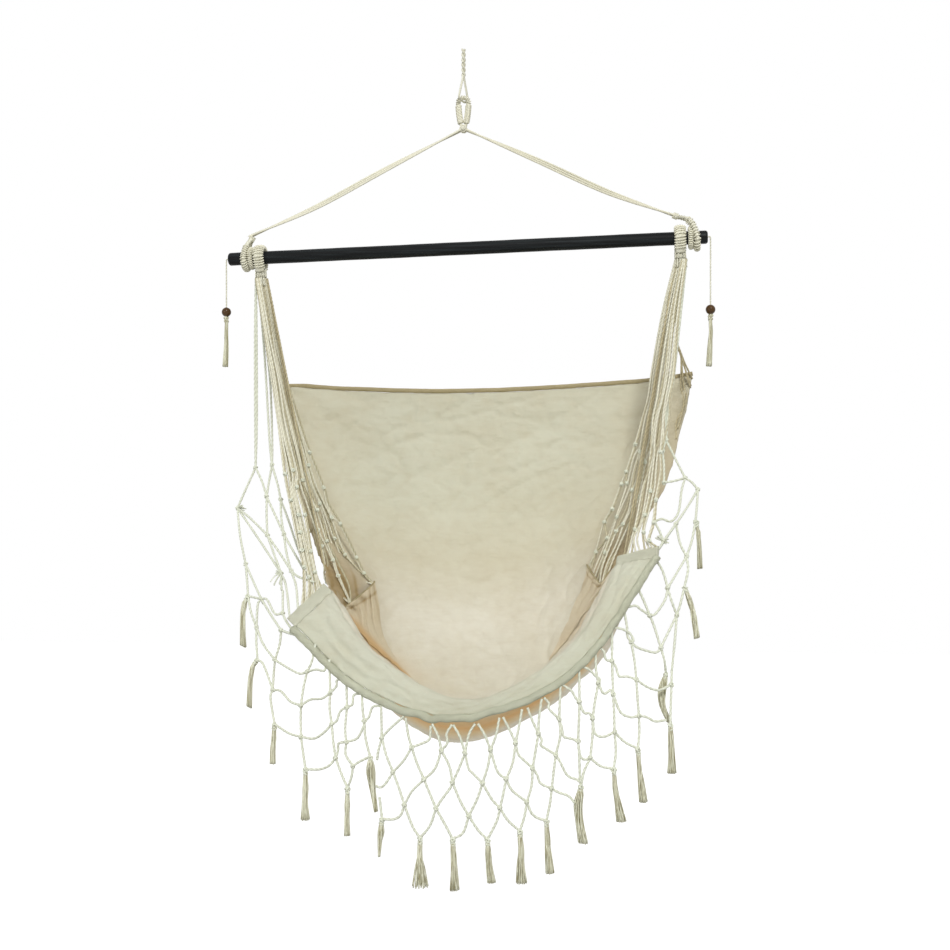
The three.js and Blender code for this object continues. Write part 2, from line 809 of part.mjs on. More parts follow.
// The same point lifted off the net's middle surface.
function besideFringe(column, fall, lift) {
  const place = onFringe(column, fall);
  const step = column > 1 ? -0.2 : 0.2;
  const beside = onFringe(column + step, fall).sub(place).multiplyScalar(Math.sign(step));
  const below = onFringe(column, fall + 0.05).sub(place);
  return place.addScaledVector(beside.cross(below).normalize(), lift);
}


function insetPolygon(corners, distance, cut) {
  const count = corners.length;
  const lines = corners.map((corner, i) => {
    const next = corners[(i + 1) % count];
    const along = next.clone().sub(corner).normalize();
    const inward = new THREE.Vector2(-along.y, along.x);
    return { point: corner.clone().addScaledVector(inward, distance), along };
  });
  const result = [];
  for (let i = 0; i < count; i += 1) {
    const a = lines[(i + count - 1) % count];
    const b = lines[i];
    const cross = a.along.x * b.along.y - a.along.y * b.along.x;
    const gap = b.point.clone().sub(a.point);
    const t = (gap.x * b.along.y - gap.y * b.along.x) / cross;
    const meet = a.point.clone().addScaledVector(a.along, t);
    result.push(meet.clone().addScaledVector(a.along, -cut));
    result.push(meet.clone().addScaledVector(b.along, cut));
  }
  return result;
}

function fringeNet() {
  const half = netCordDiameter / 2;
  const knot = netKnotDiameter / 2;
  const rows = fringeRowShares.map((share) => -share * fringeDrop);
  const flat = (column, row) => new THREE.Vector2(column * fringeSpacing, rows[row]);
  const shape = new THREE.Shape();
  shape.moveTo(-half, 0);
  for (let k = 0; k < fringeColumns; k += 1) {
    const dip = flat(k + 0.5, 1);
    const left = flat(k, 0);
    const right = flat(k + 1, 0);
    shape.lineTo(left.x + knot, left.y);
    shape.lineTo(dip.x, dip.y + knot);
    shape.lineTo(right.x - knot, right.y);
  }
  const top = flat(fringeColumns, 0);
  const low = flat(fringeColumns, 4);
  shape.lineTo(top.x + half, top.y);
  shape.lineTo(low.x + half, low.y - half);
  for (let k = fringeColumns; k > 0; k -= 1) {
    const right = flat(k, 4);
    const rise = flat(k - 0.5, 3);
    const left = flat(k - 1, 4);
    shape.lineTo(right.x - knot, right.y - half);
    shape.lineTo(rise.x, rise.y - knot);
    shape.lineTo(left.x + knot, left.y - half);
  }
  shape.lineTo(-half, low.y - half);
  shape.closePath();
  const cut = knot * 0.8;
  const addHole = (corners) => {
    const hole = new THREE.Path();
    hole.setFromPoints(insetPolygon(corners, half, cut));
    hole.closePath();
    shape.holes.push(hole);
  };
  for (const row of [1, 3]) {
    for (let k = 1; k < fringeColumns; k += 1) {
      addHole([flat(k, row - 1), flat(k - 0.5, row), flat(k, row + 1), flat(k + 0.5, row)]);
    }
    addHole([flat(0, row - 1), flat(0, row + 1), flat(0.5, row)]);
    addHole([flat(fringeColumns, row - 1), flat(fringeColumns - 0.5, row), flat(fringeColumns, row + 1)]);
  }
  for (let k = 0; k < fringeColumns; k += 1) {
    addHole([flat(k + 0.5, 1), flat(k, 2), flat(k + 0.5, 3), flat(k + 1, 2)]);
  }
  const geometry = sealed(new THREE.ExtrudeGeometry(shape, { depth: netCordDiameter, bevelEnabled: false }));
  const points = geometry.attributes.position;
  for (let i = 0; i < points.count; i += 1) {
    const column = points.getX(i) / fringeSpacing;
    const fall = -points.getY(i) / fringeDrop;
    const place = besideFringe(column, fall, points.getZ(i) - half);
    points.setXYZ(i, place.x, place.y, place.z);
  }
  return sealed(geometry);
}

// Tassels: a knot, a bound neck and a skirt of cut cords, hung below the fringe.

const tasselLengthShares = [
  1.02, 1, 0.8, 1.02, 0.96, 1.04, 0.78, 0.98, 1.02, 0.88, 1.06, 1.08, 1.16, 1.1, 1.1, 1.14, 0.96,
  1.02, 0.92,
];

const tasselKnotShare = 0.85;

function tasselGeometry(radius, length) {
  const knot = tasselKnotShare * radius;
  const head = [[0, 0], [0.6, 0.12], [1, 1], [0.65, 1.8]].map(([r, drop]) => (
    new THREE.Vector2(r * knot, -drop * knot)
  ));
  const skirt = [[0.85, 0.15], [0.8, 0.22], [1, 0.75], [1.15, 1], [0, 1]].map(([r, drop]) => (
    new THREE.Vector2(r * radius, -drop * length)
  ));
  const geometry = new THREE.LatheGeometry([...head, ...skirt].reverse(), 8);
  geometry.rotateX(Math.PI / 2);
  return sealed(geometry);
}

// Each tassel's knot sits at the lowest corner of its pad, on the line that the net falls along.
function buildTassels(net) {
  const netSolid = toSolid(net);
  const knot = tasselKnotShare * tasselRadius;
  const low = 1 + netCordDiameter / 2 / fringeDrop;
  const reach = netKnotDiameter / 2 / fringeSpacing;
  for (let k = 0; k <= fringeColumns; k += 1) {
    const ends = [-reach, reach].map((step) => onFringe(k + step, low));
    const width = ends[0].distanceTo(ends[1]);
    ends.sort((a, b) => a.z - b.z);
    const slope = (ends[1].z - ends[0].z) / width;
    const middle = ends[0].clone().lerp(ends[1], 0.5);
    const hang = middle.clone().sub(onFringe(k, 0.9));
    hang.z = Math.min(hang.z, 0);
    hang.normalize();
    const foot = middle.lerp(ends[0], -hang.z * slope);
    const overhang = -hang.z * (foot.z - ends[0].z);
    foot.addScaledVector(hang, knot - 5 * clearance);
    const name = `tassel_${String(k + 1).padStart(2, '0')}`;
    const geometry = tasselGeometry(tasselRadius, tasselLength * tasselLengthShares[k]);
    geometry.translate(foot.x, foot.y, foot.z + knot - overhang);
    const step = hang.multiplyScalar(clearance);
    while (toSolid(geometry).intersect(netSolid).getMesh().triVerts.length > 0) {
      geometry.translate(step.x, step.y, step.z);
    }
    geometry.translate(step.x, step.y, step.z);
    addMesh(name, geometry, tasselCotton);
  }
}

// Side cords: a fan from each neck to the hem, the side of the canvas, the pocket and the net.
// Knot places are shares of half the seat's width, of its reach and of its drop.

const sideKnotShares = {
  left: {
    outer: [-0.925, -0.016, 0.451],
    outerLow: [-1.004, -0.032, 0.53],
    drop: [-0.928, -0.127, 0.63],
    inner: [-0.857, -0.063, 0.511],
    high: [-0.843, -0.032, 0.446],
    mid: [-0.783, -0.095, 0.516],
    low: [-0.837, -0.111, 0.589],
    near: [-0.753, -0.143, 0.587],
    foot: [-0.689, -0.238, 0.657],
  },
  right: {
    outer: [0.929, 0.016, 0.242],
    high: [0.875, -0.063, 0.396],
    inner: [0.951, -0.095, 0.472],
    outerLow: [1.009, -0.105, 0.492],
    near: [0.828, -0.14, 0.53],
    low: [0.92, -0.175, 0.54],
    foot: [0.84, -0.27, 0.575],
  },
};

// Runs of the net's cords from knot to knot; the rest are the fan's cords.
const sideNetRuns = {
  left: [
    ['rootOuter', 'outer', 'outerLow', 'drop', 'fringeFoot'],
    ['rootInner', 'high', 'mid', 'near', 'foot', 'sleeveLow'],
    ['outer', 'inner', 'low', 'fringeMiddle'],
    ['outerLow', 'low'],
    ['mid', 'low'],
    ['near', 'low'],
    ['high', 'inner'],
  ],
  right: [
    ['rootOuter', 'outer', 'canvasTop'],
    ['rootInner', 'high', 'inner', 'outerLow', 'fringeFoot'],
    ['high', 'near', 'foot', 'sleeveLow'],
    ['inner', 'low', 'fringeMiddle'],
    ['outerLow', 'low'],
    ['near', 'low'],
    ['low', 'foot'],
  ],
};

const inwardShare = 0.04;

function buildSideCords(side) {
  const sign = side === 'left' ? -1 : 1;
  const edge = side === 'left' ? 0 : 1;
  const share = loopShares[side];
  const top = -loopDrop - neckHeight - clearance;
  const collarHeight = fanCordDiameter * 3;
  const collar = new THREE.CylinderGeometry(1, 1, collarHeight, 12);
  collar.scale(neckWidth / 2, 1, neckThickness / 2);
  collar.rotateX(Math.PI / 2);
  collar.rotateY(-barTilt);
  const middle = onBar(share, 0, top - collarHeight / 2);
  collar.translate(middle.x, middle.y, middle.z);
  const parts = [collar];
  const knots = {};
  for (const [name, shares] of Object.entries(sideKnotShares[side])) {
    knots[name] = place(shares);
    parts.push(knotBall(knots[name], netKnotDiameter * 1.15));
  }
  const root = (x, y) => onBar(share, y * neckThickness / 2, top - collarHeight / 2)
    .addScaledVector(barAlong, sign * x * neckWidth / 2);
  const clear = fanCordDiameter / 2 + 3 * clearance;
  const [sleeveStart, sleeveEnd] = sleeveEnds(side);
  const sleeveOut = sleeveStart.clone().lerp(sleeveEnd, 0.5)
    .sub(canvasPoint(Math.abs(edge - inwardShare), (1 + ridgeShare) / 2, 0)).normalize();
  const onSleeve = (along) => sleeveStart.clone().lerp(sleeveEnd, along)
    .addScaledVector(sleeveOut, sleeveWidth / 2 + clear);
  const finger = side === 'left' ? 0 : fringeColumns;
  const netEnd = (fall) => onFringe(finger, fall)
    .addScaledVector(vector(0, 0, 1), netCordDiameter / 2 + fanCordDiameter / 2 + 2 * clearance);
  const canvasEnd = (down) => {
    const point = canvasPoint(edge, down, 0);
    const inward = canvasPoint(Math.abs(edge - inwardShare), down, 0);
    return point.clone().addScaledVector(point.clone().sub(inward).normalize(), clear + fanCordDiameter / 2);
  };
  const cords = [
    [root(0.6, 0.6), canvasEnd(0.012)],
    [root(0.2, 0.65), canvasEnd(0.07)],
    [root(-0.2, 0.65), canvasEnd(0.15)],
    [root(-0.6, 0.5), canvasEnd(0.23)],
    [root(-0.7, 0.1), canvasEnd(0.31)],
    [root(-0.3, 0.2), canvasEnd(0.39)],
    [root(-0.6, -0.3), canvasEnd(0.48)],
    [root(-0.3, -0.2), canvasEnd(0.57)],
    [root(-0.35, -0.65), onSleeve(0.12)],
    [root(-0.05, -0.6), onSleeve(0.34)],
    [root(0.15, -0.3), onSleeve(0.56)],
    [root(0.35, -0.65), onSleeve(0.8)],
  ];
  knots.rootOuter = root(0.75, 0.1);
  knots.rootInner = root(0.5, -0.2);
  knots.canvasTop = canvasEnd(0.1);
  knots.fringeFoot = netEnd(1);
  knots.fringeMiddle = netEnd(0.47);
  knots.sleeveLow = onSleeve(0.94);
  for (const run of sideNetRuns[side]) {
    cords.push(run.map((name) => knots[name]));
  }
  for (const points of cords) {
    parts.push(netCord(points, fanCordDiameter));
  }
  addMesh(`${side}_side_cords`, fused(parts), cottonCord);
}

// Pendants: a cord seated in the bar's end bore, through a bead, with a tassel below.

function buildPendant(side) {
  const sign = side === 'left' ? -1 : 1;
  const drop = side === 'left' ? leftPendantDrop : rightPendantDrop;
  const end = onBar(sign, 0, 0);
  const inside = onBar(sign, 0, 0).addScaledVector(barAlong, -sign * (barBoreDepth - 2 * clearance));
  const bend = end.clone().addScaledVector(barAlong, sign * pendantReach * 0.6);
  const hang = end.clone().addScaledVector(barAlong, sign * pendantReach);
  const x = hang.x;
  const beadTop = end.z - drop;
  const footZ = beadTop - beadDiameter - clearance;
  const points = [
    inside,
    end.clone().addScaledVector(barAlong, -sign * pendantReach),
    bend,
    vector(x, 0, end.z - pendantReach),
    vector(x, 0, end.z - drop / 2),
    vector(x, 0, beadTop),
    vector(x, 0, footZ),
  ];
  addMesh(`${side}_pendant_cord`, cord(points, pendantCordDiameter, 8, 20), cottonCord);
  const bore = pendantCordDiameter / 2 + 2 * clearance;
  const radius = beadDiameter / 2;
  const start = Math.asin(bore / radius);
  const profile = [];
  for (let i = 0; i <= 8; i += 1) {
    const angle = start + (Math.PI - 2 * start) * i / 8;
    profile.push(new THREE.Vector2(radius * Math.sin(angle), -radius * Math.cos(angle)));
  }
  profile.push(profile[0].clone());
  const bead = new THREE.LatheGeometry(profile, 16);
  bead.rotateX(Math.PI / 2);
  bead.translate(x, 0, beadTop - radius);
  addMesh(`${side}_pendant_bead`, sealed(bead), beadWood);
  const tassel = tasselGeometry(pendantTasselRadius, pendantTasselLength);
  tassel.translate(x, 0, footZ - clearance);
  addMesh(`${side}_pendant_tassel`, tassel, tasselCotton);
}

addMesh('hanging_cord_top', hangingCordTop(), cottonCord);
addMesh('hanging_cord_bight', hangingCordBight(), cottonCord);
buildEye();
addMesh('spreader_bar', spreaderBar(), blackWood);
for (const side of ['left', 'right']) {
  buildSling(side);
  buildHitch(side);
  buildBarLoop(side);
  buildSideCords(side);
  buildPendant(side);
}
addMesh('seat_panel', seatPanel(), canvasCloth);
addMesh('back_hem', backHem(), hemCloth);
addMesh('front_casing', frontCasing(), canvasCloth);
addMesh('left_band_sleeve', bandSleeve('left'), canvasCloth);
addMesh('right_band_sleeve', bandSleeve('right'), canvasCloth);
const fringe = fringeNet();
addMesh('fringe_net', fringe, cottonCord);
buildTassels(fringe);

console.log(windingStats.join('\n'));

export default group;
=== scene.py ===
"""Hammock chair: canvas seat on a black spreader bar, with cord fans, a knotted fringe and tassels."""

import math
import random

import bmesh
import bpy
import numpy as np
from mathutils import Matrix, Vector, noise
from mathutils.bvhtree import BVHTree


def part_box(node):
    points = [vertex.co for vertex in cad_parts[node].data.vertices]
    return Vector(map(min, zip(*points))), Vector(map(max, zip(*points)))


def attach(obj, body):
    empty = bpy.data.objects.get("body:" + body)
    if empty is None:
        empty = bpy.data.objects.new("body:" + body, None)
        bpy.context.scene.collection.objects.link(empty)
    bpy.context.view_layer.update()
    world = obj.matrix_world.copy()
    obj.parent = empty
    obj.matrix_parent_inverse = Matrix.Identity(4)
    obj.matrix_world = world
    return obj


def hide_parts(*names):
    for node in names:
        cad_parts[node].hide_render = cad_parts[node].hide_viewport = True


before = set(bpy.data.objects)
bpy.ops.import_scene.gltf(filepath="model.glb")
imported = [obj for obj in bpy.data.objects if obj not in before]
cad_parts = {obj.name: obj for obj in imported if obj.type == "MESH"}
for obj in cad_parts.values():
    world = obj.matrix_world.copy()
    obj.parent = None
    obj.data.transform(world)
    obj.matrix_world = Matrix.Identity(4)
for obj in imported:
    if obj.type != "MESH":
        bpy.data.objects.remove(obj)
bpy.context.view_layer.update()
chance = random.Random(7)

# Camera: level, turned about the vertical; places in its frame are given in 950ths of the side

FRAME = 950
CENTRE = FRAME / 2
FOCAL = 1440
SENSOR = 36
TURN = math.radians(7)
ACROSS, AHEAD = math.cos(TURN), math.sin(TURN)
EYE_DISTANCE = 3.0
EYE_SHIFT = 0.024
EYE_HEIGHT = -0.887

camera_data = bpy.data.cameras.new("camera")
camera_data.sensor_width = SENSOR
camera_data.lens = SENSOR * FOCAL / FRAME
camera_data.dof.use_dof = False
camera = bpy.data.objects.new("camera", camera_data)
camera.location = (
    EYE_DISTANCE * AHEAD + EYE_SHIFT * ACROSS,
    -EYE_DISTANCE * ACROSS + EYE_SHIFT * AHEAD,
    EYE_HEIGHT,
)
camera.rotation_euler = (math.pi / 2, 0, TURN)
bpy.context.scene.collection.objects.link(camera)
bpy.context.scene.camera = camera

# Sizes shared with the solids, in metres

GAP = 0.0003
BAR_HALF = 0.503
BAR_RADIUS = 0.0135
BAR_DROP = 0.415
BAR_TILT = math.asin(0.0272)
ALONG = Vector((math.cos(BAR_TILT), 0, math.sin(BAR_TILT)))
BAR_UP = Vector((-math.sin(BAR_TILT), 0, math.cos(BAR_TILT)))
BACK = Vector((0, 1, 0))
UP = Vector((0, 0, 1))
HANG_DIAMETER = 0.0044
HANG_ORBIT = (HANG_DIAMETER + 0.0006) / 2
TURNING_DROP = 0.028
SPLIT_DROP = 0.058
TWIST_PITCH = 0.022
EYE_CORE = 0.003
EYE_THREAD = 0.0013
REACH_SHARE = math.cos(math.pi / 6)
EYE_OUTER = (EYE_CORE + GAP + EYE_THREAD) / REACH_SHARE + EYE_THREAD
EYE_ARC = 0.035 / 2 - EYE_OUTER
EYE_TUBE_TOP = 0.094 + EYE_OUTER
THROAT_DROP = 0.166
THROAT_RADIUS = 0.008
SLING_DIAMETER = 0.0046
HITCH_CORE = 0.0044
HITCH_THREAD = 0.0016
LOOP_HALF_WIDTH = 0.0095
LOOP_HALF_THICKNESS = 0.0032
LOOP_THREAD = 0.0017
LOOP_DROP = 0.03
NECK_WIDTH = 0.028
NECK_THICKNESS = 0.022
NECK_HEIGHT = 0.012
SEAT_WIDTH = 0.956
SEAT_REACH = 0.63
SEAT_DROP = 1.012
CASING_DIAMETER = 0.015
SLEEVE_WIDTH = 0.026
FAN_CORD = 0.0044
NET_CORD = 0.0054
LOOP_SHARES = {"left": -0.863, "right": 0.889}
SIDES = ("left", "right")
SIGN = {"left": -1, "right": 1}
EDGE = {"left": 0, "right": 1}
CLOTH_THICKNESS = 0.0016
CLOTH_ACROSS, CLOTH_DOWN = 0.9, 1.25
GOLDEN_ANGLE = 2.399963
PLIES = 2
TASSEL_COUNT = 19
TASSEL_THREAD = 0.0023
HALF_TURN = [k * math.pi / 6 for k in range(7)]


def on_bar(share, back, up):
    """A point set off from the bar's middle line."""
    place = ALONG * (share * BAR_HALF) + BAR_UP * up + BACK * back
    place.z -= BAR_DROP
    return place


def seen(u, v, y):
    """The point at a place in the camera's frame and at a depth y."""
    right, up = (u - CENTRE) / FOCAL, (CENTRE - v) / FOCAL
    direction = np.array([right * ACROSS - AHEAD, right * AHEAD + ACROSS, up])
    origin = np.array(camera.location)
    return Vector(origin + direction * ((y - origin[1]) / direction[1]))


def shown(point):
    """The place in the camera's frame and the depth y of a point, or of three arrays."""
    x, y, z = point
    scale = FOCAL / (EYE_DISTANCE - x * AHEAD + y * ACROSS)
    return CENTRE + (x * ACROSS + y * AHEAD - EYE_SHIFT) * scale, CENTRE - (z - EYE_HEIGHT) * scale, y


# Materials: colours are written as they look on a screen, from 0 to 255


class Maths:
    """A shader socket that takes Python's operators."""

    def __init__(self, tree, socket):
        self.tree, self.socket = tree, socket

    def combine(self, operation, first, second):
        return self.tree.node("Math", {"operation": operation}, [first, second])

    def __add__(self, other):
        return self.combine("ADD", self, other)

    def __sub__(self, other):
        return self.combine("SUBTRACT", self, other)

    def __rsub__(self, other):
        return self.combine("SUBTRACT", other, self)

    def __mul__(self, other):
        return self.combine("MULTIPLY", self, other)

    def __truediv__(self, other):
        return self.combine("DIVIDE", self, other)

    def __pow__(self, other):
        return self.combine("POWER", self, other)

    __radd__, __rmul__ = __add__, __mul__

    def clamped(self):
        return self.tree.node("Clamp", {}, [self])

    def beside(self, output):
        """Another output of the same node."""
        return Maths(self.tree, self.socket.node.outputs[output])


def linear(red, green, blue):
    """A screen colour as light."""
    return tuple(((v / 255 + 0.055) / 1.055) ** 2.4 if v > 10 else v / 255 / 12.92 for v in (red, green, blue))


class Finish:
    """A material whose nodes are added one by one."""

    def __init__(self, name, roughness=0.92):
        self.material = bpy.data.materials.new(name)
        self.material.use_nodes = True
        self.nodes = self.material.node_tree.nodes
        self.links = self.material.node_tree.links
        self.shader = self.nodes["Principled BSDF"]
        self.fix({"Roughness": roughness, "Specular IOR Level": 0.3})

    def fix(self, values):
        """Constants on the shader's own sockets."""
        for name, value in values.items():
            self.shader.inputs[name].default_value = value

    def feed(self, name, value):
        self.links.new(value.socket, self.shader.inputs[name])

    def node(self, kind, settings, values=(), output=0):
        made = self.nodes.new("ShaderNode" + kind)
        for key, value in settings.items():
            if key == "stops":
                ramp = made.color_ramp.elements
                for stop, (place, *colour) in zip((ramp[0], ramp[1]), (value[0], value[-1])):
                    stop.position, stop.color = place, (*linear(*colour), 1)
                for place, *colour in value[1:-1]:
                    ramp.new(place).color = (*linear(*colour), 1)
            else:
                setattr(made, key, value)
        pairs = values.items() if isinstance(values, dict) else enumerate(values)
        for key, value in pairs:
            if isinstance(value, Maths):
                self.links.new(value.socket, made.inputs[key])
            else:
                made.inputs[key].default_value = value
        return Maths(self, made.outputs[output])

    def place(self, *scale):
        """The object's own coordinates, stretched where a scale is given."""
        spot = self.node("TexCoord", {}, output="Object")
        return self.node("Mapping", {}, {"Vector": spot, "Scale": scale}) if scale else spot

    def map(self):
        """The piece's own map, as two separate values."""
        along = self.node("SeparateXYZ", {}, [self.node("TexCoord", {}, output="UV")])
        return along, along.beside(1)

    def noise(self, spot, scale, detail=3.0):
        return self.node("TexNoise", {}, {"Vector": spot, "Scale": scale, "Detail": detail})

    def wave(self, value, pitch):
        """A sine of a length, from 0 to 1."""
        return self.node("Math", {"operation": "SINE"}, [value * (2 * math.pi / pitch)]) * 0.5 + 0.5

    def mix(self, share, first, second):
        first, second = (c if isinstance(c, Maths) else (*linear(*c), 1) for c in (first, second))
        return self.node("Mix", {"data_type": "RGBA"}, {0: share, 6: first, 7: second}, output=2)

    def bump(self, height, distance, strength):
        self.feed("Normal", self.node("Bump", {}, {"Height": height, "Distance": distance, "Strength": strength}))


def cotton(name, light, dark, fibre_pitch=0.0018):
    """Twisted cotton: plies run along the piece's own map, with grooves between them."""
    finish = Finish(name)
    along, round_share = finish.map()
    groove = finish.wave(round_share, 1 / PLIES)
    fibre = finish.wave(along + round_share * fibre_pitch * 3, fibre_pitch)
    place = finish.place()
    fuzz = finish.noise(place, 900)
    blotch = finish.noise(place, 26)
    # Painted shade: the grooves between the plies are coloured darker; fibre, fuzz and blotch vary the tone.
    shade = (groove * 0.4 + fibre * 0.12 + fuzz * 0.25 + blotch * 0.3 + 0.12).clamped()
    finish.feed("Base Color", finish.mix(shade, dark, light))
    finish.bump(groove * 0.6 + fibre * 0.25 + fuzz * 0.35, 0.0004, 0.6)
    return finish.material


ROPE = cotton("twisted_rope", (232, 231, 214), (176, 171, 145), 0.0022)
NETTING = cotton("net_cord", (234, 237, 221), (188, 191, 167))
SERVING = cotton("serving_thread", (244, 243, 226), (194, 187, 158), 0.0014)
FAN = cotton("fan_cord", (233, 231, 212), (186, 180, 154))
# Painted shade: two darker copies of the fan cord, for the cords at the back and the corner, and for every third cord
# of a fan.
SHADED = cotton("shaded_fan_cord", (206, 196, 162), (150, 136, 98))
FAN_IN_SHADE = cotton("fan_cord_in_shade", (206, 200, 172), (150, 140, 106))


def tassel_cotton():
    """Loose thread: light and dark strands side by side, all down the tassel."""
    finish = Finish("tassel_thread")
    strand = finish.noise(finish.place(520, 520, 9), 1.0, 2)
    fuzz = finish.noise(finish.place(), 700)
    share = ((strand - 0.36) * 3.4 + fuzz * 0.24).clamped()
    finish.feed("Base Color", finish.mix(share, (154, 147, 110), (232, 232, 210)))
    finish.bump(strand * 0.7 + fuzz * 0.3, 0.0006, 0.6)
    return finish.material


LOOSE = tassel_cotton()


def canvas(name, stops, stain_and_shade, shaded=False, through=0.0):
    """Plain-woven canvas in metres on its own map, with a colour that changes down the seat, stains, and painted shade
    in its dents, creases and weave.
    """
    finish = Finish(name, 0.93)
    across, down = finish.map()
    warp, weft = finish.wave(across, 0.0013), finish.wave(down, 0.0013)
    weave = warp * weft + (1 - warp) * (1 - weft)
    place = finish.place()
    slub = finish.noise(finish.place(40, 40, 190), 1.0, 4)
    cloud = finish.noise(place, 6, 4)
    pucker = finish.noise(place, 38, 5)
    ramp = finish.node("ValToRGB", {"stops": stops}, [down / CLOTH_DOWN])
    tone = finish.mix((cloud * 1.4 + slub * 0.5 - 0.72).clamped() * 0.45, ramp, stain_and_shade)
    # Painted shade: the dents of the pucker bump take the darker colour.
    tone = finish.mix((0.52 - pucker).clamped() * 0.5, tone, stain_and_shade)
    ridge = finish.noise(finish.place(9, 14, 20), 1.3, 6) - 0.5
    crease = (1 - finish.node("Math", {"operation": "ABSOLUTE"}, [ridge]) * 2) ** 9
    # Painted shade along the creases of the bump.
    tone = finish.mix((crease * 0.07).clamped(), tone, stain_and_shade)
    # Painted shadow and painted glow, read from the vertices' shadow and glow attributes.
    if shaded:
        for mark, colour in (("shadow", (178, 153, 108)), ("glow", (222, 184, 130))):
            share = finish.node("Attribute", {"attribute_name": mark}, output="Fac")
            tone = finish.mix(share.clamped(), tone, colour)
    # Painted shade in the low spots of the weave.
    shade = finish.mix((1 - weave) * 0.14, tone, (168, 156, 122))
    finish.feed("Base Color", shade)
    # Painted glow: the cloth also gives off its own colour as light, though it is no lamp.
    if through:
        finish.feed("Emission Color", shade)
        finish.fix({"Emission Strength": through})
    finish.bump(weave * 0.14 + slub * 0.2 + pucker * 1.5 + crease * 0.22, 0.006, 0.7)
    return finish.material


# Each stop is a share down the cloth and a colour; the colour after them is for stains and painted shade
CANVAS = canvas(
    "natural_canvas",
    [
        (0.0, 222, 221, 199),
        (0.2, 226, 225, 203),
        (0.3, 229, 225, 202),
        # Painted light: these lighter stops brighten the seat.
        (0.4, 246, 242, 226),
        (0.55, 238, 234, 216),
        (0.862, 236, 231, 212),
        (0.872, 233, 233, 213),
        (1.0, 224, 226, 204),
    ],
    (200, 184, 148),
    True,
)
# Painted light and shade on the seat's outer face: tan shade towards the back, a pale band and an orange glow towards
# the front edge, and a faint glow of its own.
UNDERSIDE_PAINTED_LIGHT = canvas(
    "canvas_underside",
    [
        (0.0, 200, 186, 152),
        (0.6, 250, 246, 230),
        (0.67, 250, 242, 222),
        (0.7, 248, 222, 178),
        (0.722, 242, 194, 132),
        (0.75, 240, 206, 158),
        (0.8, 232, 222, 198),
        (1.0, 222, 218, 196),
    ],
    (172, 152, 112),
    through=0.2,
)
POCKET = canvas("pocket_canvas", [(0.0, 230, 218, 190), (1.0, 240, 228, 204)], (196, 172, 128), True)
BAND = canvas("band_canvas", [(0.0, 224, 225, 204), (1.0, 222, 224, 202)], (180, 173, 144))
# Painted shade: the casing's canvas is darker than the band's, for the shaded underside of the roll.
CASING_IN_SHADE = canvas("casing_canvas", [(0.0, 208, 211, 188), (1.0, 206, 209, 186)], (160, 156, 124))
HEM = canvas("hem_canvas", [(0.0, 204, 192, 156), (0.5, 180, 166, 126), (1.0, 204, 192, 156)], (146, 130, 92))


def stitched():
    """Dull seam thread, dark enough to stand for the seams' painted shade as well."""
    finish = Finish("stitch_thread", 0.85)
    fuzz = finish.noise(finish.place(), 1400)
    finish.feed("Base Color", finish.mix(fuzz, (146, 134, 100), (186, 176, 142)))
    finish.bump(fuzz, 0.0002, 0.5)
    return finish.material


STITCH_AND_SEAM_SHADE = stitched()


def stained_wood():
    """Black-stained wood under lacquer, with the grain showing along the bar."""
    finish = Finish("black_stained_wood")
    stretched = finish.place(6, 160, 160)
    grain, pores = finish.noise(stretched, 1.6, 6), finish.noise(stretched, 7, 3)
    streak = finish.node("ValToRGB", {"stops": [(0.42, 0, 0, 0), (0.66, 255, 255, 255)]}, [grain])
    colour = finish.mix(finish.node("RGBToBW", {}, [streak]) * 0.6, (9, 11, 12), (38, 44, 46))
    finish.feed("Base Color", finish.mix((pores - 0.45).clamped() * 1.4, colour, (10, 9, 8)))
    finish.feed("Roughness", 0.4 + pores * 0.22)
    finish.fix({"Specular IOR Level": 0.12, "Coat Weight": 0.02, "Coat Roughness": 0.22})
    finish.bump(grain * 0.6 + pores * 0.4, 0.0004, 0.5)
    return finish.material


def polished_wood():
    """Dark brown turned wood with a gloss."""
    finish = Finish("polished_bead_wood")
    grain = finish.noise(finish.place(190, 190, 34), 1.4, 5)
    finish.feed("Base Color", finish.mix(grain, (40, 24, 8), (96, 66, 26)))
    finish.feed("Roughness", 0.14 + grain * 0.12)
    finish.fix({"Specular IOR Level": 0.2, "Coat Weight": 0.06, "Coat Roughness": 0.08})
    finish.bump(grain, 0.0002, 0.4)
    return finish.material


BLACK_WOOD = stained_wood()
BEAD_WOOD = polished_wood()

# Curves


def smooth_curve(points, share):
    """Points of a Catmull-Rom curve; share is an array from 0 to 1."""
    points = np.asarray(points, float)
    spans = len(points) - 1
    padded = np.concatenate([[2 * points[0] - points[1]], points, [2 * points[-1] - points[-2]]])
    place = np.clip(share, 0, 1) * spans
    first = np.minimum(place.astype(int), spans - 1)
    t = (place - first).reshape((-1,) + (1,) * (points.ndim - 1))
    a, b, c, d = (padded[first + k] for k in range(4))
    m0, m1 = (c - a) / 2, (d - b) / 2
    return (
        (2 * b - 2 * c + m0 + m1) * t**3 + (3 * c - 3 * b - 2 * m0 - m1) * t**2 + m0 * t + b
    )


def spaced(points, step, smooth=True):
    """Even steps along a curve through the points."""
    points = np.array([tuple(p) for p in points], float)
    if smooth and len(points) > 2:
        points = smooth_curve(points, np.linspace(0, 1, 24 * len(points)))
    lengths = np.concatenate([[0], np.cumsum(np.linalg.norm(np.diff(points, axis=0), axis=1))])
    count = max(3, round(lengths[-1] / step))
    marks = np.linspace(0, lengths[-1], count + 1)
    return np.stack([np.interp(marks, lengths, points[:, k]) for k in range(3)], 1)


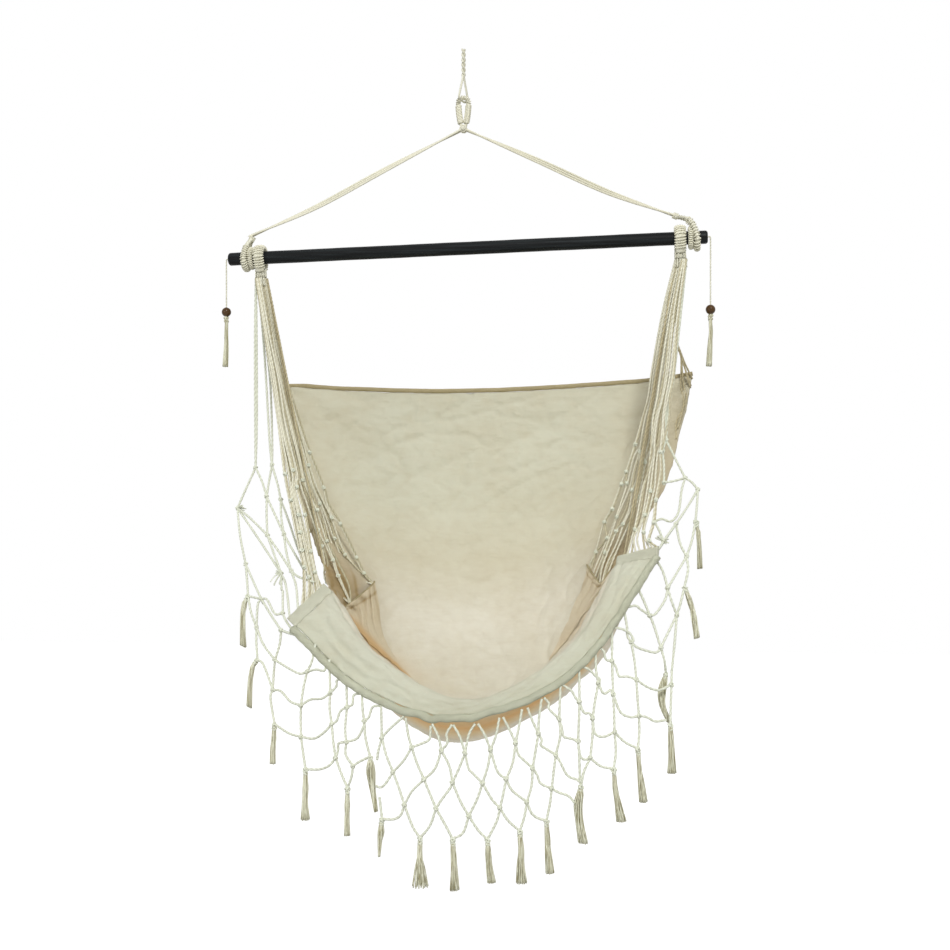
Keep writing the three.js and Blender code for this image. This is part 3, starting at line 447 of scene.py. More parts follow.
def frames_along(path, side=None):
    """A pair of cross directions at each point, carried along without turning."""
    tangents = np.gradient(path, axis=0)
    tangents /= np.linalg.norm(tangents, axis=1)[:, None]
    first = Vector(tangents[0])
    normal = Vector(side) if side is not None else first.orthogonal()
    firsts, seconds = [], []
    for tangent in tangents:
        direction = Vector(tangent)
        normal = (Vector(side) if side is not None else normal) - direction * normal.dot(direction)
        normal.normalize()
        firsts.append(normal.copy())
        seconds.append(direction.cross(normal))
    return firsts, seconds


# Pieces


class Piece:
    """A mesh that grows part by part and then rides on a body of the frame."""

    def __init__(self, name, material, parts=(), slot="cotton_cord"):
        self.name, self.material, self.slot = name, material, slot
        self.mesh = bmesh.new()
        for part in parts:
            self.add(part)

    def add(self, part):
        bmesh.ops.recalc_face_normals(part, faces=part.faces[:])
        loose = bpy.data.meshes.new("part")
        part.to_mesh(loose)
        part.free()
        self.mesh.from_mesh(loose)
        bpy.data.meshes.remove(loose)

    def finish(self, body, *nodes):
        data = bpy.data.meshes.new(self.name)
        self.mesh.to_mesh(data)
        self.mesh.free()
        data.shade_smooth()
        data.materials.append(self.material)
        made = bpy.data.objects.new(self.name, data)
        bpy.context.scene.collection.objects.link(made)
        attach(made, body)
        if nodes:
            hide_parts(*nodes)
        return made


def rod(length, count, section, turns=0.0):
    """A straight rod up Z whose section climbs and turns; its map holds length and share of the way round."""
    bm = bmesh.new()
    around = bm.verts.layers.float.new("around")
    sides = len(section)
    ring = bmesh.ops.create_circle(bm, segments=sides, radius=1)["verts"]
    for i, vert in enumerate(ring):
        vert[around] = i / sides
        vert.co = (section[i][0], section[i][1], 0)
    bmesh.ops.spin(
        bm,
        geom=bm.edges[:],
        cent=(0, 0, 0),
        axis=(0, 0, 1),
        dvec=(0, 0, length / count),
        angle=turns * 2 * math.pi,
        steps=count,
        use_duplicate=False,
    )
    bmesh.ops.holes_fill(bm, edges=[e for e in bm.edges if e.is_boundary], sides=0)
    chart = bm.loops.layers.uv.new("UVMap")
    for face in bm.faces:
        shares = [loop.vert[around] for loop in face.loops]
        wraps = max(shares) - min(shares) > 0.5 and len(shares) == 4
        for loop, share in zip(face.loops, shares):
            loop[chart].uv = (loop.vert.co.z, share + (1 if wraps and share < 0.5 else 0))
    return bm


def round_section(radius, sides, lobes=0, depth=0.0, flat=1.0):
    """Points round a section; lobes make the plies of a twisted cord."""
    points = []
    for i in range(sides):
        angle = i * 2 * math.pi / sides
        reach = radius * (1 - depth * (1 - math.cos(lobes * angle)) / 2)
        points.append((reach * math.cos(angle), reach * math.sin(angle) * flat))
    return points


def bend_along(bm, path, side=None, width=None):
    """Lays a straight rod along a path, one ring at each of its points."""
    firsts, seconds = frames_along(path, side)
    count = len(path) - 1
    length = max(v.co.z for v in bm.verts)
    for vert in bm.verts:
        i = round(vert.co.z / length * count)
        grown = width(i / count) if width else 1.0
        vert.co = Vector(path[i]) + (firsts[i] * vert.co.x + seconds[i] * vert.co.y) * grown
    return bm


def cord_length(path):
    return float(np.linalg.norm(np.diff(path, axis=0), axis=1).sum())


def twisted(path, diameter, lay=0.009, depth=0.3, sides=6):
    """A laid cord along a path; each starts at another point of its lay."""
    shift = chance.randrange(sides)
    section = round_section(diameter / 2, sides, PLIES, depth)
    section = section[shift:] + section[:shift]
    lay = lay * chance.uniform(0.8, 1.25)
    length = cord_length(path)
    return bend_along(rod(length, len(path) - 1, section, length / lay / PLIES), path)


def plain(path, diameter, sides=6, width=None):
    """An untwisted thread along a path."""
    section = round_section(diameter / 2, sides)
    return bend_along(rod(cord_length(path), len(path) - 1, section), path, None, width)


def any_way(draws):
    return Vector((draws.uniform(-1, 1), draws.uniform(-1, 1), draws.uniform(-1, 1)))


def round_knot(centre, radius, thread, seed):
    """An overhand knot: a thread wound two turns over itself."""
    axis = any_way(random.Random(seed)).normalized()
    across = axis.orthogonal().normalized()
    other = axis.cross(across)
    inner = radius - thread / 2
    points = []
    for k in range(15):
        angle = k * 2 * math.pi / 7
        reach = inner * (0.75 + 0.25 * math.cos(1.5 * angle))
        around = across * math.cos(angle) + other * math.sin(angle)
        points.append(Vector(centre) + around * reach + axis * (inner * 0.7 * math.sin(1.5 * angle)))
    return twisted(spaced(points, thread * 0.55), thread)


def wound(points, side, half_width, half_thickness, thread, turns, start=0.0, end=1.0):
    """A thread wound close over a core, as round as its section, fourteen steps to a turn."""
    core = spaced(points, 0.0012)
    firsts, seconds = frames_along(core, side)
    count = len(core) - 1
    reach_width, reach_thickness = half_width + thread * 1.02, half_thickness + thread * 1.02
    coil = []
    steps = turns * 14
    for k in range(steps + 1):
        i = (start + (end - start) * k / steps) * count
        low = min(int(i), count - 1)
        blend = i - low
        angle = 2 * math.pi * k / 14
        first = firsts[low].lerp(firsts[low + 1], blend) * (reach_width * math.cos(angle))
        second = seconds[low].lerp(seconds[low + 1], blend) * (reach_thickness * math.sin(angle))
        coil.append(Vector(core[low]).lerp(Vector(core[low + 1]), blend) + first + second)
    return twisted(spaced(coil, thread * 1.1, False), 2 * thread, 0.006)


def bound(centre, axis, across, other, radius, half_length, steps, thread):
    """A thread wound round a neck along an axis, ten steps to a turn."""
    coil = []
    for k in range(steps + 1):
        angle = k * 2 * math.pi / 10
        around = across * math.cos(angle) + other * math.sin(angle)
        coil.append(centre + axis * (half_length * (2 * k / steps - 1)) + around * radius)
    return twisted(spaced(coil, 0.0018), thread, 0.006)


def bundled(count):
    """Places of threads packed evenly into a circle of radius 1."""
    for k in range(count):
        angle, spread = k * GOLDEN_ANGLE, math.sqrt((k + 0.5) / count)
        yield spread * math.cos(angle), spread * math.sin(angle)


def core_tube(points, side, half_width, half_thickness, sides=12):
    """A smooth tube with an oval section."""
    path = spaced(points, 0.003)
    section = round_section(half_width, sides, flat=half_thickness / half_width)
    return bend_along(rod(cord_length(path), len(path) - 1, section), path, side)


def lathed(profile, steps, merge, closed=False):
    """A profile of radii and heights turned once round Z, its long edges cut for an even mesh."""
    bm = bmesh.new()
    verts = [bm.verts.new((r, 0, z)) for r, z in profile]
    for pair in zip(verts, verts[1:] + verts[:1] if closed else verts[1:]):
        bm.edges.new(pair)
    long_edges = [e for e in bm.edges if e.calc_length() > 0.5]
    if long_edges:
        bmesh.ops.subdivide_edges(bm, edges=long_edges, cuts=40, use_grid_fill=False)
    bmesh.ops.spin(
        bm, geom=bm.verts[:] + bm.edges[:], cent=(0, 0, 0), axis=UP, angle=2 * math.pi, steps=steps, use_merge=True
    )
    bmesh.ops.remove_doubles(bm, verts=bm.verts[:], dist=merge)
    return bm


# Hanging cord: two strands round each other, opening into a bight round the eye

WINDING = 2 * math.pi / TWIST_PITCH
BIGHT_TURN = math.pi * 0.39
bight_depth = (EYE_OUTER + GAP + HANG_DIAMETER / 2) * 0.98
bight_reach = bight_depth * 2.2


def spun(reach, angle, z):
    return reach * math.cos(angle), reach * math.sin(angle), z


strands = []
for start in (0, math.pi):
    drops = np.linspace(0, TURNING_DROP - GAP, 16)
    strand = [spun(HANG_ORBIT, start + drop * WINDING, -drop) for drop in drops]
    strands.append(plain(spaced(strand, 0.0012), HANG_DIAMETER, 10))
Piece("hanging_cord_strands", ROPE, strands).finish("cord_top", "hanging_cord_top")

leg = [
    spun(HANG_ORBIT, BIGHT_TURN - (SPLIT_DROP - drop) * WINDING, -drop)
    for drop in np.linspace(TURNING_DROP, SPLIT_DROP, 9)
]
leg.append(spun((HANG_ORBIT + bight_reach) / 2, BIGHT_TURN, -(SPLIT_DROP + EYE_TUBE_TOP) / 2))
bow = [
    spun(bight_reach * math.cos(angle), BIGHT_TURN, -EYE_TUBE_TOP - bight_depth * math.sin(angle))
    for angle in HALF_TURN
]
back_leg = [(-x, -y, z) for x, y, z in reversed(leg)]
bight_path = spaced(leg + bow + back_leg, 0.0012)
bight = Piece("hanging_cord_loop", ROPE, [plain(bight_path, HANG_DIAMETER, 10)])
bight.finish("cord", "hanging_cord_bight")

# Eye: a served loop with a bound throat, its serving thinner where the bight lies

THROAT = Vector((0, 0, -THROAT_DROP))
eye_centre = EYE_TUBE_TOP + EYE_ARC
foot = (THROAT_RADIUS - EYE_CORE) * 0.7
half_way = -(THROAT_DROP + eye_centre) / 2
eye_points = [(-foot, 0, -THROAT_DROP), (-EYE_ARC * 0.78, 0, half_way)]
for angle in reversed(HALF_TURN):
    eye_points.append((EYE_ARC * math.cos(angle), 0, -eye_centre + EYE_ARC * math.sin(angle)))
eye_points += [(EYE_ARC * 0.78, 0, half_way), (foot, 0, -THROAT_DROP)]
throat = [THROAT + BACK * (share * 0.0085) for share in (-1, 1)]
eye = Piece("eye_rope", ROPE, [core_tube(eye_points, BACK, EYE_CORE, EYE_CORE)])
eye.add(plain(spaced(throat, 0.0042), 2 * (THROAT_RADIUS - 0.0028), 20))
eye.finish("eye", "eye_core")
serving = Piece("eye_serving_thread", SERVING)
for core, turns, start, end in (
    (EYE_CORE, 14, 0.33, 0.67),
    (EYE_CORE * 1.45, 17, 0.08, 0.34),
    (EYE_CORE * 1.45, 17, 0.66, 0.92),
):
    serving.add(wound(eye_points, BACK, core, core, EYE_THREAD, turns, start, end))
serving.add(bound(THROAT, BACK, Vector((1, 0, 0)), UP, THROAT_RADIUS - 0.0014, 0.0075, 60, 0.0028))
serving.finish("eye", "eye_serving")

# Sling cords and hitches: a hitch's share along the bar, then its neck and knee in bar diameters from there

HITCHES = {
    "left": (-0.925, (0.5, 1.5), (0.18, 0.95)),
    "right": (0.956, (-1.55, 1.7), (-0.48, 1.25)),
}
SECOND_REACH = 0.0185
SECOND_CORE = 0.0032


def near_hitch(side, shares):
    return on_bar(HITCHES[side][0], 0, shares[1] * 2 * BAR_RADIUS) + ALONG * (shares[0] * 2 * BAR_RADIUS)


def sling(side):
    """Three cords side by side from the eye's throat to the neck of the hitch."""
    neck = near_hitch(side, HITCHES[side][1])
    run = (neck - THROAT).normalized()
    away = (neck - near_hitch(side, HITCHES[side][2])).normalized()
    lift = run.cross(BACK).normalized()
    if lift.z < 0:
        lift.negate()
    for i in range(3):
        rank = i - 1
        first = THROAT + run * (THROAT_RADIUS + GAP) + BACK * (rank * (SLING_DIAMETER + GAP))
        straight = first + run * SLING_DIAMETER
        last = neck + away * (0.006 + GAP) + BACK * (rank * 0.0035 * 1.42)
        lead = last + away * SLING_DIAMETER
        points = [first, straight]
        for share, sag in ((0.35, 0.3), (0.7, 1)):
            points.append(straight.lerp(lead, share) + lift * (rank * 0.0045 - sag * 0.007))
        path = spaced(points + [lead, last], 0.003)
        cord = Piece(f"{side}_sling_rope_{i + 1}", FAN, [plain(path, SLING_DIAMETER, 10)])
        cord.finish("sling", f"{side}_sling_cord_{i + 1}")


def hitch(side):
    """A served loop under the bar with a bound neck, and a second served turn beside it."""
    share, neck_shares, knee_shares = HITCHES[side]
    neck, knee = near_hitch(side, neck_shares), near_hitch(side, knee_shares)
    away = (neck - knee).normalized()
    radius = BAR_RADIUS + HITCH_CORE + 2 * HITCH_THREAD + 2 * GAP
    leg_gap = 0.007 / 3
    front = [neck - BACK * leg_gap, knee - BACK * ((leg_gap + radius) / 2)]
    around = [on_bar(share, -radius * math.cos(a), -radius * math.sin(a)) for a in HALF_TURN]
    points = front + around + [Vector((p.x, -p.y, p.z)) for p in reversed(front)]
    beside = share - SIGN[side] * 0.0122 / BAR_HALF
    second = [
        on_bar(beside, -SECOND_REACH * math.cos(a), -SECOND_REACH * math.sin(a))
        for a in np.linspace(0, 2 * math.pi, 19)
    ]
    core = Piece(f"{side}_hitch_rope", ROPE, [core_tube(points, ALONG, HITCH_CORE, HITCH_CORE)])
    core.add(core_tube(second, ALONG, SECOND_CORE, SECOND_CORE))
    core.add(plain(spaced([neck - away * 0.0058, neck + away * 0.0058], 0.0015), 2 * 0.0053, 18))
    core.finish("sling", f"{side}_hitch")
    thread = Piece(f"{side}_hitch_thread", SERVING)
    thread.add(wound(points, ALONG, HITCH_CORE, HITCH_CORE, HITCH_THREAD, 26, 0.13, 0.87))
    thread.add(wound(second, ALONG, SECOND_CORE, SECOND_CORE, 0.0015, 34))
    across = away.orthogonal().normalized()
    thread.add(bound(neck, away, across, away.cross(across), 0.0059, 0.0052, 40, 0.0026))
    thread.finish("sling", f"{side}_hitch_serving")


for side in SIDES:
    sling(side)
    hitch(side)

# Spreader bar: turned from its profile, with a bored end for each pendant cord

profile = [(0.0, 0.4909), (0.0022, 0.4909), (0.0022, 0.5026)]
for k in range(7):
    profile.append((0.0085 + 0.005 * math.sin(k * math.pi / 12), 0.498 + 0.005 * math.cos(k * math.pi / 12)))
turned_bar = lathed(profile + [(r, -z) for r, z in reversed(profile)], 48, 1e-5)
for vert in turned_bar.verts:
    vert.co.x += 0.00012 * math.sin(vert.co.z * 31) + 0.0001 * math.sin(vert.co.z * 87 + 1)
tilt = Matrix.Rotation(-BAR_TILT, 3, "Y") @ Matrix.Rotation(math.pi / 2, 3, "Y")
bmesh.ops.rotate(turned_bar, verts=turned_bar.verts[:], cent=(0, 0, 0), matrix=tilt)
bmesh.ops.translate(turned_bar, verts=turned_bar.verts[:], vec=(0, 0, -BAR_DROP))
Piece("spreader_bar_wood", BLACK_WOOD, [turned_bar], "black_wood").finish("sling", "spreader_bar")


# Bar loops: flat served loops over the bar, closing in a neck of strands


def bar_loop(side):
    share = LOOP_SHARES[side]
    outer = (LOOP_HALF_THICKNESS + GAP + LOOP_THREAD) / REACH_SHARE + LOOP_THREAD
    radius = BAR_RADIUS + GAP + outer
    leg_gap = NECK_THICKNESS / 2 - LOOP_HALF_THICKNESS
    points = [on_bar(share, -leg_gap, -LOOP_DROP)]
    points += [on_bar(share, -radius * math.cos(a), radius * math.sin(a)) for a in HALF_TURN]
    points.append(on_bar(share, leg_gap, -LOOP_DROP))
    core = Piece(f"{side}_bar_loop_rope", ROPE)
    core.add(core_tube(points, ALONG, LOOP_HALF_WIDTH, LOOP_HALF_THICKNESS, 16))
    centre = on_bar(share, 0, -LOOP_DROP - NECK_HEIGHT / 2)
    for x, y in bundled(34):
        offset = ALONG * (x * 0.0125) + BACK * (y * 0.0095)
        strand = spaced([centre + offset - BAR_UP * 0.0058, centre + offset * 0.96 + BAR_UP * 0.012], 0.003)
        core.add(twisted(strand, 0.0034, 0.008))
    core.finish("seat", f"{side}_bar_loop")
    thread = wound(points, ALONG, LOOP_HALF_WIDTH, LOOP_HALF_THICKNESS, LOOP_THREAD, 22, 0.06, 0.94)
    Piece(f"{side}_bar_loop_thread", SERVING, [thread]).finish("seat", f"{side}_bar_loop_serving")


for side in SIDES:
    bar_loop(side)

# Canvas: rows from the back hem to the front edge, each from left to right, as shares of its
# half width, reach and drop; the second share is the same at both ends of a row

CANVAS_ROWS = [
    ((-0.917, -0.423, 0.008, 0.509, 1), (0.397, 0.405, 0.408), (0.267, 0.28, 0.283, 0.272, 0.25)),
    ((-0.866, -0.436, 0.014, 0.493, 0.951), (0.302, 0.36, 0.373), (0.371, 0.422, 0.433, 0.412, 0.359)),
    ((-0.769, -0.403, 0.023, 0.461, 0.859), (0.151, 0.286, 0.313), (0.52, 0.576, 0.591, 0.559, 0.498)),
    ((-0.622, -0.336, 0.031, 0.416, 0.722), (-0.024, 0.159, 0.206), (0.643, 0.723, 0.748, 0.692, 0.594)),
    ((-0.558, -0.339, 0.042, 0.422, 0.691), (-0.119, -0.016, 0.024), (0.696, 0.853, 0.903, 0.827, 0.639)),
    ((-0.601, -0.36, 0.035, 0.552, 0.733), (-0.151, -0.175, -0.167), (0.719, 0.895, 0.995, 0.85, 0.663)),
    ((-0.546, -0.313, 0.092, 0.518, 0.694), (-0.23, -0.357, -0.405), (0.708, 0.86, 0.931, 0.819, 0.65)),
    ((-0.497, -0.26, 0.12, 0.472, 0.656), (-0.31, -0.468, -0.548), (0.694, 0.797, 0.87, 0.783, 0.639)),
    ((-0.633, -0.302, 0.098, 0.507, 0.819), (-0.357, -0.524, -0.603), (0.756, 0.858, 0.896, 0.816, 0.62)),
]
CANVAS_POINTS = np.array([
    [
        (x * SEAT_WIDTH / 2, y * SEAT_REACH, -BAR_DROP - z * SEAT_DROP)
        for x, y, z in zip(xs, ys + ys[1::-1], zs)
    ]
    for xs, ys, zs in CANVAS_ROWS
])


def canvas_grid(across, down):
    """Points of the smooth canvas, one row for each share down."""
    columns = smooth_curve(CANVAS_POINTS, down)
    rows = smooth_curve(np.swapaxes(columns, 0, 1), across)
    return np.swapaxes(rows, 0, 1)


def bump_shape(value, middle, width):
    return np.exp(-(((value - middle) / width) ** 2))


def fold_height(across, down):
    """Height of the gathered folds and of the taut ridge that the solids have."""
    side = np.abs(2 * across - 1)
    gather = np.maximum(0, (side - 0.35) / 0.65)
    folds = 0.009 * gather * (1 - gather * 0.55) * np.cos(down * 2 * np.pi * 6.5) * bump_shape(down, 0.55, 0.17)
    taut = np.minimum(1, side * 1.6 + 0.2) * (1 - bump_shape(side, 1, 0.12))
    ridge = 0.008 * taut * (bump_shape(down, 0.875, 0.03) - 1.4 * bump_shape(down, 0.8, 0.05))
    crest = 0.004 * np.maximum(0, 1 - np.abs(down - 0.872) / 0.022)
    return folds + ridge + crest


def wrinkle_height(across, down):
    """Finer wrinkles: rays from the pockets, lengthwise creases of the band and soft dents."""
    height = np.zeros_like(across)
    for edge, foot in ((0.0, 0.52), (1.0, 0.5)):
        inward = np.abs(across - edge)
        angle = np.arctan2((down - foot) * 1.3, inward + 0.015)
        reach = np.hypot((down - foot) * 1.3, inward)
        rays = np.sin(angle * 15 + edge * 2) * 0.6 + np.sin(angle * 27 + 1 + edge) * 0.4
        height += 0.0032 * rays * np.exp(-((reach / 0.17) ** 1.6)) * np.minimum(1, reach / 0.03)
    for edge in (0.0, 1.0):
        inward = np.abs(across - edge)
        top_rays = np.sin(np.arctan2(down + 0.02, inward + 0.05) * 14)
        height += 0.0034 * top_rays * bump_shape(inward, 0.1, 0.22) * bump_shape(down, 0.1, 0.24)
    height += 0.0008 * np.sin(across * 95 + 5 * np.sin(across * 17)) * bump_shape(down, 1.0, 0.018)
    crease = 0.955 + 0.02 * across + 0.006 * np.sin(across * 12)
    creased = bump_shape(across, 0.16, 0.12)
    height -= 0.004 * bump_shape(down, crease, 0.006) * (creased + 0.4 * bump_shape(across, 0.9, 0.08))
    height += 0.003 * bump_shape(down, crease - 0.014, 0.008) * creased
    dents = np.sin(across * 11 + down * 23) * np.sin(across * 5.3 - down * 9 + 1)
    height += 0.0028 * dents * bump_shape(down, 0.6, 0.35)
    slanted = np.sin((across * 1.6 + down) * 34)
    height += 0.0018 * slanted * bump_shape(across, 0.72, 0.14) * bump_shape(down, 0.66, 0.12)
    return height


def crumple(across, down):
    """Soft dents and crisp creases, from noise on the flat cloth, in metres."""
    flat = np.zeros_like(across)
    for spot in np.ndindex(across.shape):
        x, y = across[spot] * CLOTH_ACROSS, down[spot] * CLOTH_DOWN
        broad = noise.noise((x * 4.5, y * 8, 2.0))
        drift = noise.noise((x * 9, y * 11, 5.0)) * 0.5
        sharp = (1 - abs(noise.noise((x * 8 + drift, y * 17 + x * 6, 9.0)))) ** 8
        fine = (1 - abs(noise.noise((x * 19 - y * 5, y * 36 + drift, 14.0)))) ** 6
        flat[spot] = 0.0045 * broad + 0.006 * sharp + 0.0034 * fine
    calm = 0.6 + 0.6 * bump_shape(down, 0.6, 0.16) + 0.3 * bump_shape(down, 0.12, 0.1)
    return flat * calm * (1 - 0.1 * bump_shape(down, 0.93, 0.06)) * (1 - 0.8 * bump_shape(down, 0.68, 0.07))


def canvas_surface(across, down):
    """Canvas points and normals on a grid of shares, lifted off the smooth surface by the folds."""
    points = canvas_grid(across, down)
    normals = np.cross(np.gradient(points, axis=1), np.gradient(points, axis=0))
    normals /= np.linalg.norm(normals, axis=2)[:, :, None]
    a, d = np.meshgrid(across, down)
    height = fold_height(a, d) + (wrinkle_height(a, d) + crumple(a, d))
    return points + normals * height[:, :, None], normals


ACROSS_COUNT, DOWN_COUNT = 168, 220
surface, surface_normals = canvas_surface(np.linspace(0, 1, ACROSS_COUNT + 1), np.linspace(0, 1, DOWN_COUNT + 1))


def canvas_point(across, down, lift=0.0):
    """One point of the canvas, read between the grid's points."""
    i, j = down * DOWN_COUNT, across * ACROSS_COUNT
    a, b = min(int(i), DOWN_COUNT - 1), min(int(j), ACROSS_COUNT - 1)
    u, v = i - a, j - b

    def at(grid):
        near = grid[a, b] * (1 - v) + grid[a, b + 1] * v
        far = grid[a + 1, b] * (1 - v) + grid[a + 1, b + 1] * v
        return Vector(near * (1 - u) + far * u)

    return at(surface) + at(surface_normals).normalized() * lift


def cloth_shadow(across, down):
    """Painted shade: where the cloth lies in the shade of the cords, at its side edges and inside the pockets, with
    dark pleat lines there.
    """
    shadow = 0.5 * bump_shape(across, 0.0, 0.1) * bump_shape(down, 0.33, 0.2)
    shadow += 0.5 * bump_shape(across, 1.0, 0.13) * bump_shape(down, 0.26, 0.26)
    for share, middle, width in ((0.7, 0.08, 0.1), (0.6, 0.93, 0.08)):
        shadow += share * bump_shape(across, middle, width) * bump_shape(down, 0.42, 0.07)
    # Painted shade: dark lines along the pleats inside the left pocket.
    lines = max(0, math.sin(across * 120 - down * 46)) ** 3
    shadow += 0.7 * lines * bump_shape(across, 0.07, 0.07) * bump_shape(down, 0.43, 0.06)
    return float(min(1, shadow))


def cloth_glow(across, down):
    """Where light through the doubled cloth warms the fold behind the band."""
    left = bump_shape(down, 0.495, 0.022) * bump_shape(across, 0.18, 0.13)
    right = bump_shape(down, 0.49, 0.02) * bump_shape(across, 0.86, 0.1)
    return float(0.8 * left + 0.4 * right)


def draped(wide, deep, spot):
    """A grid whose vertices each take a point, a place on the map, a shadow and a glow."""
    bm = bmesh.new()
    chart = bm.loops.layers.uv.new("UVMap")
    shadow = bm.verts.layers.float.new("shadow")
    glow = bm.verts.layers.float.new("glow")
    bmesh.ops.create_grid(bm, x_segments=wide, y_segments=deep, size=0.5)
    marks = {}
    for vert in bm.verts:
        i, j = round((vert.co.x + 0.5) * wide), round((vert.co.y + 0.5) * deep)
        vert.co, marks[vert], vert[shadow], vert[glow] = spot(i, j)
    for face in bm.faces:
        for loop in face.loops:
            loop[chart].uv = marks[loop.vert]
    return bm


def thicken(cloth):
    wall = cloth.modifiers.new("thickness", "SOLIDIFY")
    wall.thickness, wall.offset = CLOTH_THICKNESS, 0
    return wall


def canvas_spot(i, j):
    across, down = i / ACROSS_COUNT, j / DOWN_COUNT
    mark = (across * CLOTH_ACROSS, down * CLOTH_DOWN)
    return surface[j, i], mark, cloth_shadow(across, down), cloth_glow(across, down)


sheet = draped(ACROSS_COUNT, DOWN_COUNT, canvas_spot)
seat_cloth = Piece("seat_canvas", CANVAS, [sheet], "canvas").finish("seat", "seat_panel")
# The seat's outer face takes the canvas with painted light and shade.
seat_cloth.data.materials.append(UNDERSIDE_PAINTED_LIGHT)
wall = thicken(seat_cloth)
wall.material_offset, wall.material_offset_rim = 1, 0


# Hem at the back, and the rolled casing along the front


def rolled(path, side_points, half_width, half_thickness, sides, crease, seed):
    """A soft flattened tube along a path, with small dents along it."""
    section = round_section(half_width, sides, flat=half_thickness / half_width)
    bm = rod(cord_length(path), len(path) - 1, section)
    tangents = np.gradient(path, axis=0)
    count = len(path) - 1
    length = max(v.co.z for v in bm.verts)
    for vert in bm.verts:
        s, angle = vert.co.z, math.atan2(vert.co.y, vert.co.x)
        i = round(s / length * count)
        tangent = Vector(tangents[i]).normalized()
        first = Vector(side_points[i])
        first = (first - tangent * first.dot(tangent)).normalized()
        second = tangent.cross(first)
        short = math.sin(s * 210 + 2.2 * math.sin(s * 37 + seed) + angle * 2) * 0.6
        dent = 1 + crease * (short + math.sin(s * 87 + angle * 3 + seed) * 0.4)
        vert.co = Vector(path[i]) + (first * vert.co.x + second * vert.co.y) * dent
    return bm


def edge_roll(row, inner, distance, count, *shape):
    """A roll that lies beyond the canvas's first or last row of points."""
    points = []
    for k in range(count + 1):
        edge = canvas_point(k / count, row / DOWN_COUNT)
        points.append(edge + (edge - canvas_point(k / count, inner)).normalized() * distance)
    path = spaced(points, 0.004)
    normals = [surface_normals[row, round(k / (len(path) - 1) * ACROSS_COUNT)] for k in range(len(path))]
    return rolled(path, normals, *shape)


hem_roll = edge_roll(0, 0.02, 0.005 + 2 * GAP, 24, 0.0042, 0.0052, 12, 0.03, 1.0)
Piece("back_hem_roll", HEM, [hem_roll], "hem").finish("seat", "back_hem")
casing_reach = CASING_DIAMETER / 2 + 2.5 * GAP
casing_roll = edge_roll(DOWN_COUNT, 0.98, casing_reach, 42, 0.0062, 0.0078, 16, 0.09, 4.0)
Piece("front_casing_roll", CASING_IN_SHADE, [casing_roll], "canvas").finish("seat", "front_casing")

# Band sleeves, along the edge from the ridge to the casing

RIDGE = 0.875


def sleeve_ends(side):
    ends = []
    for down in (RIDGE, 1):
        point = canvas_point(EDGE[side], down)
        away = (point - canvas_point(abs(EDGE[side] - 0.03), down)).normalized()
        ends.append(point + away * (SLEEVE_WIDTH / 2 + 5 * GAP))
    return ends


def band_sleeve(side):
    start, end = sleeve_ends(side)
    normal = Vector(surface_normals[round((RIDGE + 1) / 2 * DOWN_COUNT), EDGE[side] * ACROSS_COUNT])
    along = (end - start).normalized()
    path = spaced([start - along * 0.001, end + along * 0.0015], 0.003)
    across = along.cross(normal).normalized()
    roll = rolled(path, [across] * len(path), SLEEVE_WIDTH / 2 * 1.16, 0.0036, 20, 0.05, EDGE[side] * 3.0)
    Piece(f"{side}_sleeve_cloth", BAND, [roll], "canvas").finish("seat", f"{side}_band_sleeve")


for side in SIDES:
    band_sleeve(side)


def stitches():
    """Seams of the front band: thread that dips in and out along each hem, dark enough to be partly painted seam
    shade.
    """
    thread = Piece("band_stitches", STITCH_AND_SEAM_SHADE, slot="canvas")

    def seam(places, size, lift):
        path = spaced([canvas_point(a, d, lift) for a, d in places], 0.003)
        for k in range(0, len(path) - 3, 4):
            thread.add(plain(spaced(path[k : k + 3], 0.002), size, 5))

    seam([(0.012 + 0.976 * k / 60, 0.978 + 0.002 * math.sin(k)) for k in range(61)], 0.0012, 0.0012)
    seam([(0.02 + 0.2 * k / 20, 0.955 + 0.004 * k / 20) for k in range(21)], 0.001, 0.0012)
    for edge in (0, 1):
        places = [(abs(edge - 0.006) + 0.004 * math.sin(k * 0.9 + edge), 0.882 + 0.11 * k / 12) for k in range(13)]
        seam(places, 0.0012, 0.0014)
    # A line of thread along each sleeve seam, partly painted shade of the seam.
    for edge in (0, 1):
        welt_and_seam_shade = []
        for k in range(15):
            across = abs(abs(edge - 0.002) - 0.003 * math.sin(k * 1.3) ** 2)
            welt_and_seam_shade.append(canvas_point(across, 0.876 + 0.12 * k / 14, 0.0012))
        thread.add(plain(spaced(welt_and_seam_shade, 0.003), 0.0022, 6))
    thread.finish("seat")


stitches()

# Gathered pocket on each side, inside the seat: rows of places in the frame from its rim down,
# and how far each column is drawn off the canvas towards the front


POCKETS = {
    "left": (
        [
            [(344.5, 607.5), (353, 601), (363, 593), (370, 587), (374.5, 581.5)],
            [(345, 613), (354, 613), (364, 610), (372, 607), (378.5, 603)],
            [(346, 620), (356, 627), (367, 633), (377, 637), (385, 640)],
            [(350, 631), (366, 645), (385, 660), (400, 672), (414, 684)],
        ],
        (0.022, 0.028, 0.03, 0.028, 0.022),
    ),
    "right": (
        [
            [(611.5, 572), (606, 578), (600, 583), (594, 575), (588.5, 566)],
            [(607, 581), (602, 588), (596, 592), (590, 587), (584.5, 579)],
            [(597, 597), (592, 604), (587, 607), (582, 604), (578, 599)],
            [(586, 614), (579, 626), (571, 638), (561, 650), (552, 662)],
        ],
        (0.02, 0.026, 0.028, 0.028, 0.024),
    ),
}
ROW_SHARES = (1, 0.85, 0.72, 0.25)
TOWARDS_EYE = Vector((AHEAD, -ACROSS, 0.1)).normalized()


